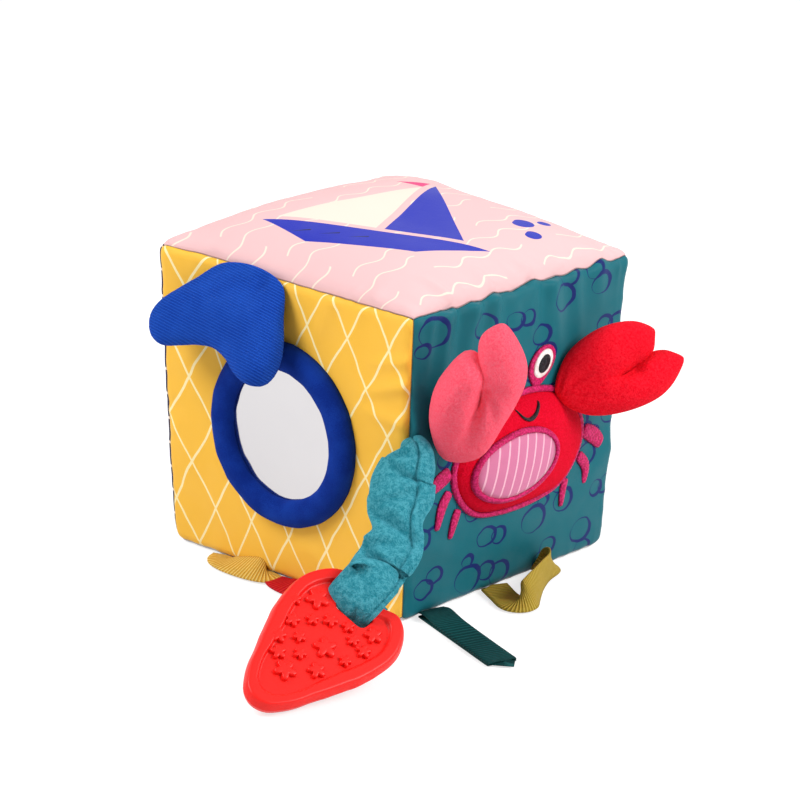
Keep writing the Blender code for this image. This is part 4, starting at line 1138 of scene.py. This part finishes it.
def strapRoute(steps=70, roundSteps=24):
    # places along the strap and round the bar, with the width direction and how far along and round each is
    ways = strapHeading * strap["reach"], strapSide * strap["side"], up * -strap["drop"]
    route = [strapRoot + ways[0] * a + ways[1] * b + ways[2] * c for a, b, c in strap["shares"]]
    rise = route[-1] - barPlace
    rise = (rise - widthWay * rise.dot(widthWay)).normalized()
    overWay = widthWay.cross(rise)
    if overWay.dot(faceWay) < 0:
        overWay = -overWay
    start = barPlace + overWay * strap["loopRadius"]
    route.append(start + rise * strap["lap"])
    line = []
    for k in range(steps + 1):
        t = k / steps
        line.append((spline(route, t), strapSide.lerp(widthWay, t * t).normalized(), t, 0.0))
    line.append((start + rise * strap["lap"] / 2, widthWay, 1, 0.0))
    for k in range(roundSteps + 1):
        a = pi * k / roundSteps
        around = overWay * cos(a) - rise * sin(a)
        line.append((barPlace + around * strap["loopRadius"], widthWay, 1, k / roundSteps))
    line.append((barPlace - overWay * strap["loopRadius"] + rise * strap["lap"] / 2, widthWay, 1, 1.0))
    return line


def makeStrap():
    line = strapRoute()
    last = len(line) - 1

    def at(u, v):
        turn = 2 * pi * u
        here, wide, t, bend = line[round(v * last)]
        ahead = line[min(round(v * last) + 1, last)][0] - line[max(round(v * last) - 1, 0)][0]
        thickWay = wide.cross(ahead).normalized()
        wide = ahead.cross(thickWay).normalized()
        c, s = cos(turn), sin(turn)
        outer = thickWay.dot(here - barPlace) * s > 0 if t > 0.9 else s < 0
        reach = curveValue(strap["left"] if c < 0 else strap["right"], t) / 1000
        gather = sum(depth * exp(-((t - middle - lean * c) / width)**2)
            for middle, lean, depth, width in strap["folds"])
        soft = noiseAt(t * strap["lumps"] + c, 1.7, s)
        fineAlong, fineRound = strap["fineness"]
        fuzz = strap["fuzz"] * noiseAt(t * fineAlong, c * fineRound, s * fineRound)
        reach *= 1 + strap["soft"] * soft + fuzz
        thick = strap["startThick"] + (1 - strap["startThick"]) * smooth(t, 0, strap["startReach"])
        thick = strap["thick"] * thick * (1 + strap["uneven"] * soft)
        thick *= 1 - min(strap["mostGathered"], gather)
        # round the bar it narrows to pass through the slot, and lies thin against the bar
        past = smooth(bend, *strap["narrowLeft" if c < 0 else "narrowRight"])
        near = smooth(t, *strap["thinInside"])
        reach += (strap["loopHalf"] - reach) * past
        if outer:
            thick += (strap["lumpLast"] - thick) * smooth(t, 0.93, 1)
            thick += (strap["loopOuter"] - thick) * past
        else:
            thick += (strap["loopThick"] - thick) * near
        offSeam = (c - strap["seamAt"] - strap["seamLean"] * t) / strap["seamReach"]
        seam = strap["seamDip"] * exp(-offSeam**2) * (1 - past) if s < 0 else 0
        return here + wide * reach * c + thickWay * (thick - seam) * s

    bm = sheetMesh(strap["columns"], last, at, around=True)
    bmesh.ops.holes_fill(bm, edges=[e for e in bm.edges if e.is_boundary])
    piece = finishPiece("strapSleeve", bm, None, ["strap_sleeve"], plushTeal)
    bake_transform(piece)
    print("strap made")


def makeTeether():
    def at(u, v):
        turn = 2 * pi * u
        reach = teether["halfWidth"] * polar(teether["shares"], turn)
        sign = 1 if v <= 0.5 else -1
        share = 1 - abs(2 * v - 1)
        inside = reach * sin(pi / 2 * share)**0.9
        edge = reach - inside
        beyond, before = teether["rimFall"]
        step = smooth(edge, teether["rimWidth"] + beyond, teether["rimWidth"] - before)
        height = teether["plate"] + (teether["rim"] - teether["plate"]) * step
        curl = 1 - smooth(edge, 0, teether["rimRound"])
        height -= (teether["rim"] - teether["edgeHalf"]) * (1 - sqrt(max(0.0, 1 - curl**2)))
        x, y = inside * cos(turn), inside * sin(turn)
        spot = barPlace + tipWay * (teether["centre"] + x) + widthWay * y
        return spot + faceWay * sign * height

    bm = sheetMesh(*teether["cells"], at, around=True)
    piece = finishPiece("teetherHeart", weld(bm), "teether", ["teether"], siliconeRed)
    near, far, wide = teether["slot"]
    cutter = bmesh.new()
    bmesh.ops.create_cube(cutter, size=1)
    bmesh.ops.scale(cutter, vec=(far - near, 2 * wide, 0.02), verts=cutter.verts)
    tall = [e for e in cutter.edges if abs(e.verts[0].co.z - e.verts[1].co.z) > 0.01]
    bmesh.ops.bevel(cutter, geom=tall, offset=(far - near) / 3, segments=5, affect="EDGES", profile=0.5)
    knife = linkMesh("slotCutter", cutter)
    turned = Matrix((tipWay, widthWay, faceWay)).transposed().to_4x4()
    knife.matrix_world = Matrix.Translation(barPlace + tipWay * (near + far) / 2) @ turned
    cut = piece.modifiers.new("slot", "BOOLEAN")
    cut.object = knife
    cut.solver = "EXACT"
    bpy.context.view_layer.objects.active = piece
    bpy.ops.object.modifier_apply(modifier=cut.name)
    bpy.data.objects.remove(knife)
    makeStars()
    print("teether made")


def makeStars():
    # each star is a rounded five-pointed prism, sunk a little into the plate
    rise = teether["starRise"]
    sides = teether["starSides"]
    rows = ((1.06, -0.0002), (1.03, 0.2 * rise), (1.0, 0.75 * rise), (0.93, 0.93 * rise), (0.8, rise),
        (0.4, rise), (0, rise))
    bm = bmesh.new()
    for sign in (1, -1):
        for x, y, size, turn in teether["stars"]:
            rings = []
            for scale, lift in rows:
                ring = []
                for k in range(sides):
                    a = 2 * pi * k / sides
                    # a star is 1.72 times as wide as its tips reach
                    lobe = cos(5 * a)
                    reach = size / 1720 * (0.76 + 0.24 * lobe + 0.08 * (1 - lobe * lobe)) * scale
                    way = a + radians(turn)
                    spot = tipWay * (x / 1000 + reach * cos(way)) + widthWay * (y / 1000 + reach * sin(way))
                    ring.append(bm.verts.new(barPlace + spot + faceWay * sign * (teether["plate"] + lift)))
                rings.append(ring)
            for low, high in zip(rings, rings[1:]):
                for k in range(sides):
                    n = (k + 1) % sides
                    bm.faces.new((low[k], low[n], high[n], high[k]))
            bm.faces.new(rings[0][::-1])
    finishPiece("teetherStars", weld(bm), "teether", [], siliconeRed)


# Ribbons

tape = {"width": 0.015, "thick": 0.0007, "lift": 0.0019, "floor": 0.0006, "blend": 0.006, "steps": 60,
    "gap": 0.0002, "cells": (120, 8)}
# a ribbon's centre line as shares of its spread along the seam and of its reach out from it
frontLoop = ((-0.62, 0), (-0.55, 0.42), (-0.3, 0.62), (0.05, 0.68), (0.36, 0.62), (0.54, 0.4), (0.56, 0))
ribbons = {
    "ribbonYellowRight": {"node": "ribbon_yellow_right", "turn": 0, "spread": 0.036, "reach": 0.0275,
        "line": ((-0.5, 0), (-0.68, 0.47), (-0.805, 0.83), (-0.69, 1.0), (-0.44, 0.89), (-0.11, 0.69),
            (0.22, 0.5), (0.46, 0.27), (0.5, 0)),
        "twist": (0, 0, 14, 50, 72, 86, 88, 50, 0), "slot": "olive_tape",
        "look": ("oliveTape", (0.35, 0.235, 0.024), (0.54, 0.4, 0.072))},
    "ribbonYellowFront": {"node": "ribbon_yellow_front", "turn": -90, "spread": 0.027, "reach": 0.012,
        "line": frontLoop, "twist": (0, 4, 12, 22, 26, 12, 0), "slot": "yellow_tape",
        "look": ("yellowTape", (0.64, 0.34, 0.04), (0.86, 0.62, 0.18))},
    "ribbonRedFront": {"node": "ribbon_red_front", "turn": -90, "spread": 0.023, "reach": 0.011,
        "line": frontLoop, "twist": (0, 4, 8, 10, 8, 4, 0), "slot": "red_tape",
        "look": ("redTape", (0.5, 0.004, 0.01), (0.64, 0.02, 0.03))},
    "ribbonGreenRight": {"node": "ribbon_green_right", "turn": 0, "slot": "green_tape",
        "look": ("greenTape", (0.002, 0.034, 0.034), (0.008, 0.075, 0.075))}}
# the green loop lies folded flat: its upper half as (share of its reach, share of its rise)
flatLoop = {"reach": 0.065, "turn": -19, "upper": ((0, 0.2), (0.11, 0.9), (0.3, 0.3), (0.7, 0.04),
    (0.985, 0))}


def makeRibbon(name):
    form = ribbons[name]
    origin = hinges[form["node"] + "_fold"]
    turned = Matrix.Rotation(radians(form["turn"]), 3, "Z")
    if "line" in form:
        drop = tape["lift"] - tape["floor"] - tape["thick"] / 2
        points = [(form["reach"] * out, form["spread"] * along, -drop * out) for along, out in form["line"]]
        twists = form["twist"]
    else:
        low = tape["floor"] + tape["thick"] / 2 - tape["lift"]
        above = low + tape["thick"] + tape["gap"]
        bumpUp = tape["lift"] - above
        turn = radians(flatLoop["turn"])
        way = Vector((cos(turn), sin(turn))) * flatLoop["reach"]
        points = [(*way * s, above + bumpUp * rise) for s, rise in flatLoop["upper"]]
        points.append((*way, (low + above) / 2))
        points += [(*way * s, low) for s, rise in flatLoop["upper"][::-1]]
        twists = (0, 0)
    steps = tape["steps"]
    length = sum((spline(points, (k + 1) / steps) - spline(points, k / steps)).length for k in range(steps))

    def at(u, v):
        here = spline(points, u)
        ahead = wayAlong(points, u)
        flat = up.cross(Vector((ahead.x, ahead.y, 0))).normalized()
        twist = radians(curveValue(twists, u))
        edge = flat * cos(twist) + up * sin(twist)
        spot = here + up * sin(twist) * tape["width"] / 2 + edge * (v - 0.5) * tape["width"]
        spot.x = max(spot.x, 0)
        return origin + turned @ spot

    bm = sheetMesh(*tape["cells"], at, flat=(length, tape["width"]))
    look = tapeMaterial(*form["look"])
    piece = finishPiece(name, bm, None, [form["node"]], look, closed=False)
    thicken(piece, tape["thick"], 0)
    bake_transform(piece)


# Pieces kept from the frame

def finishKept():
    foam = plain("openFoam", (0.82, 0.79, 0.7), 0.95, 900.0, 0.0006)
    wadding = plain("fibreFill", (0.86, 0.86, 0.84), 0.95, 500.0, 0.0008)
    casing = plain("rattleCase", (0.8, 0.8, 0.8), 0.35, 200.0, 0.00002, mottle=0.02)
    web = plain("elasticWeb", (0.78, 0.78, 0.77), 0.8, 1500.0, 0.0003)
    film = plain("mirrorFilm", (0.58, 0.562, 0.572), 0.1, 30.0, 0.00003, 1.0, 0.01)
    looks = {"mirror_plate": film, "foam": foam, "filling": wadding, "padding": wadding, "elastic": web}
    for node, kept in frame["nodes"].items():
        look = next((look for word, look in looks.items() if word in node), casing)
        kept.data.materials.clear()
        kept.data.materials.append(look)
    print("kept pieces painted")


makeCamera()
makeLight()
makeFloor()
print("camera, floor and light set")
makeCovers()
makeMirror()
makeCrab()
makeFace()
for name in forks:
    makeFork(name)
makeStrap()
makeTeether()
for name in ribbons:
    makeRibbon(name)
print("ribbons made")
finishKept()
scene.view_settings.view_transform = "Standard"
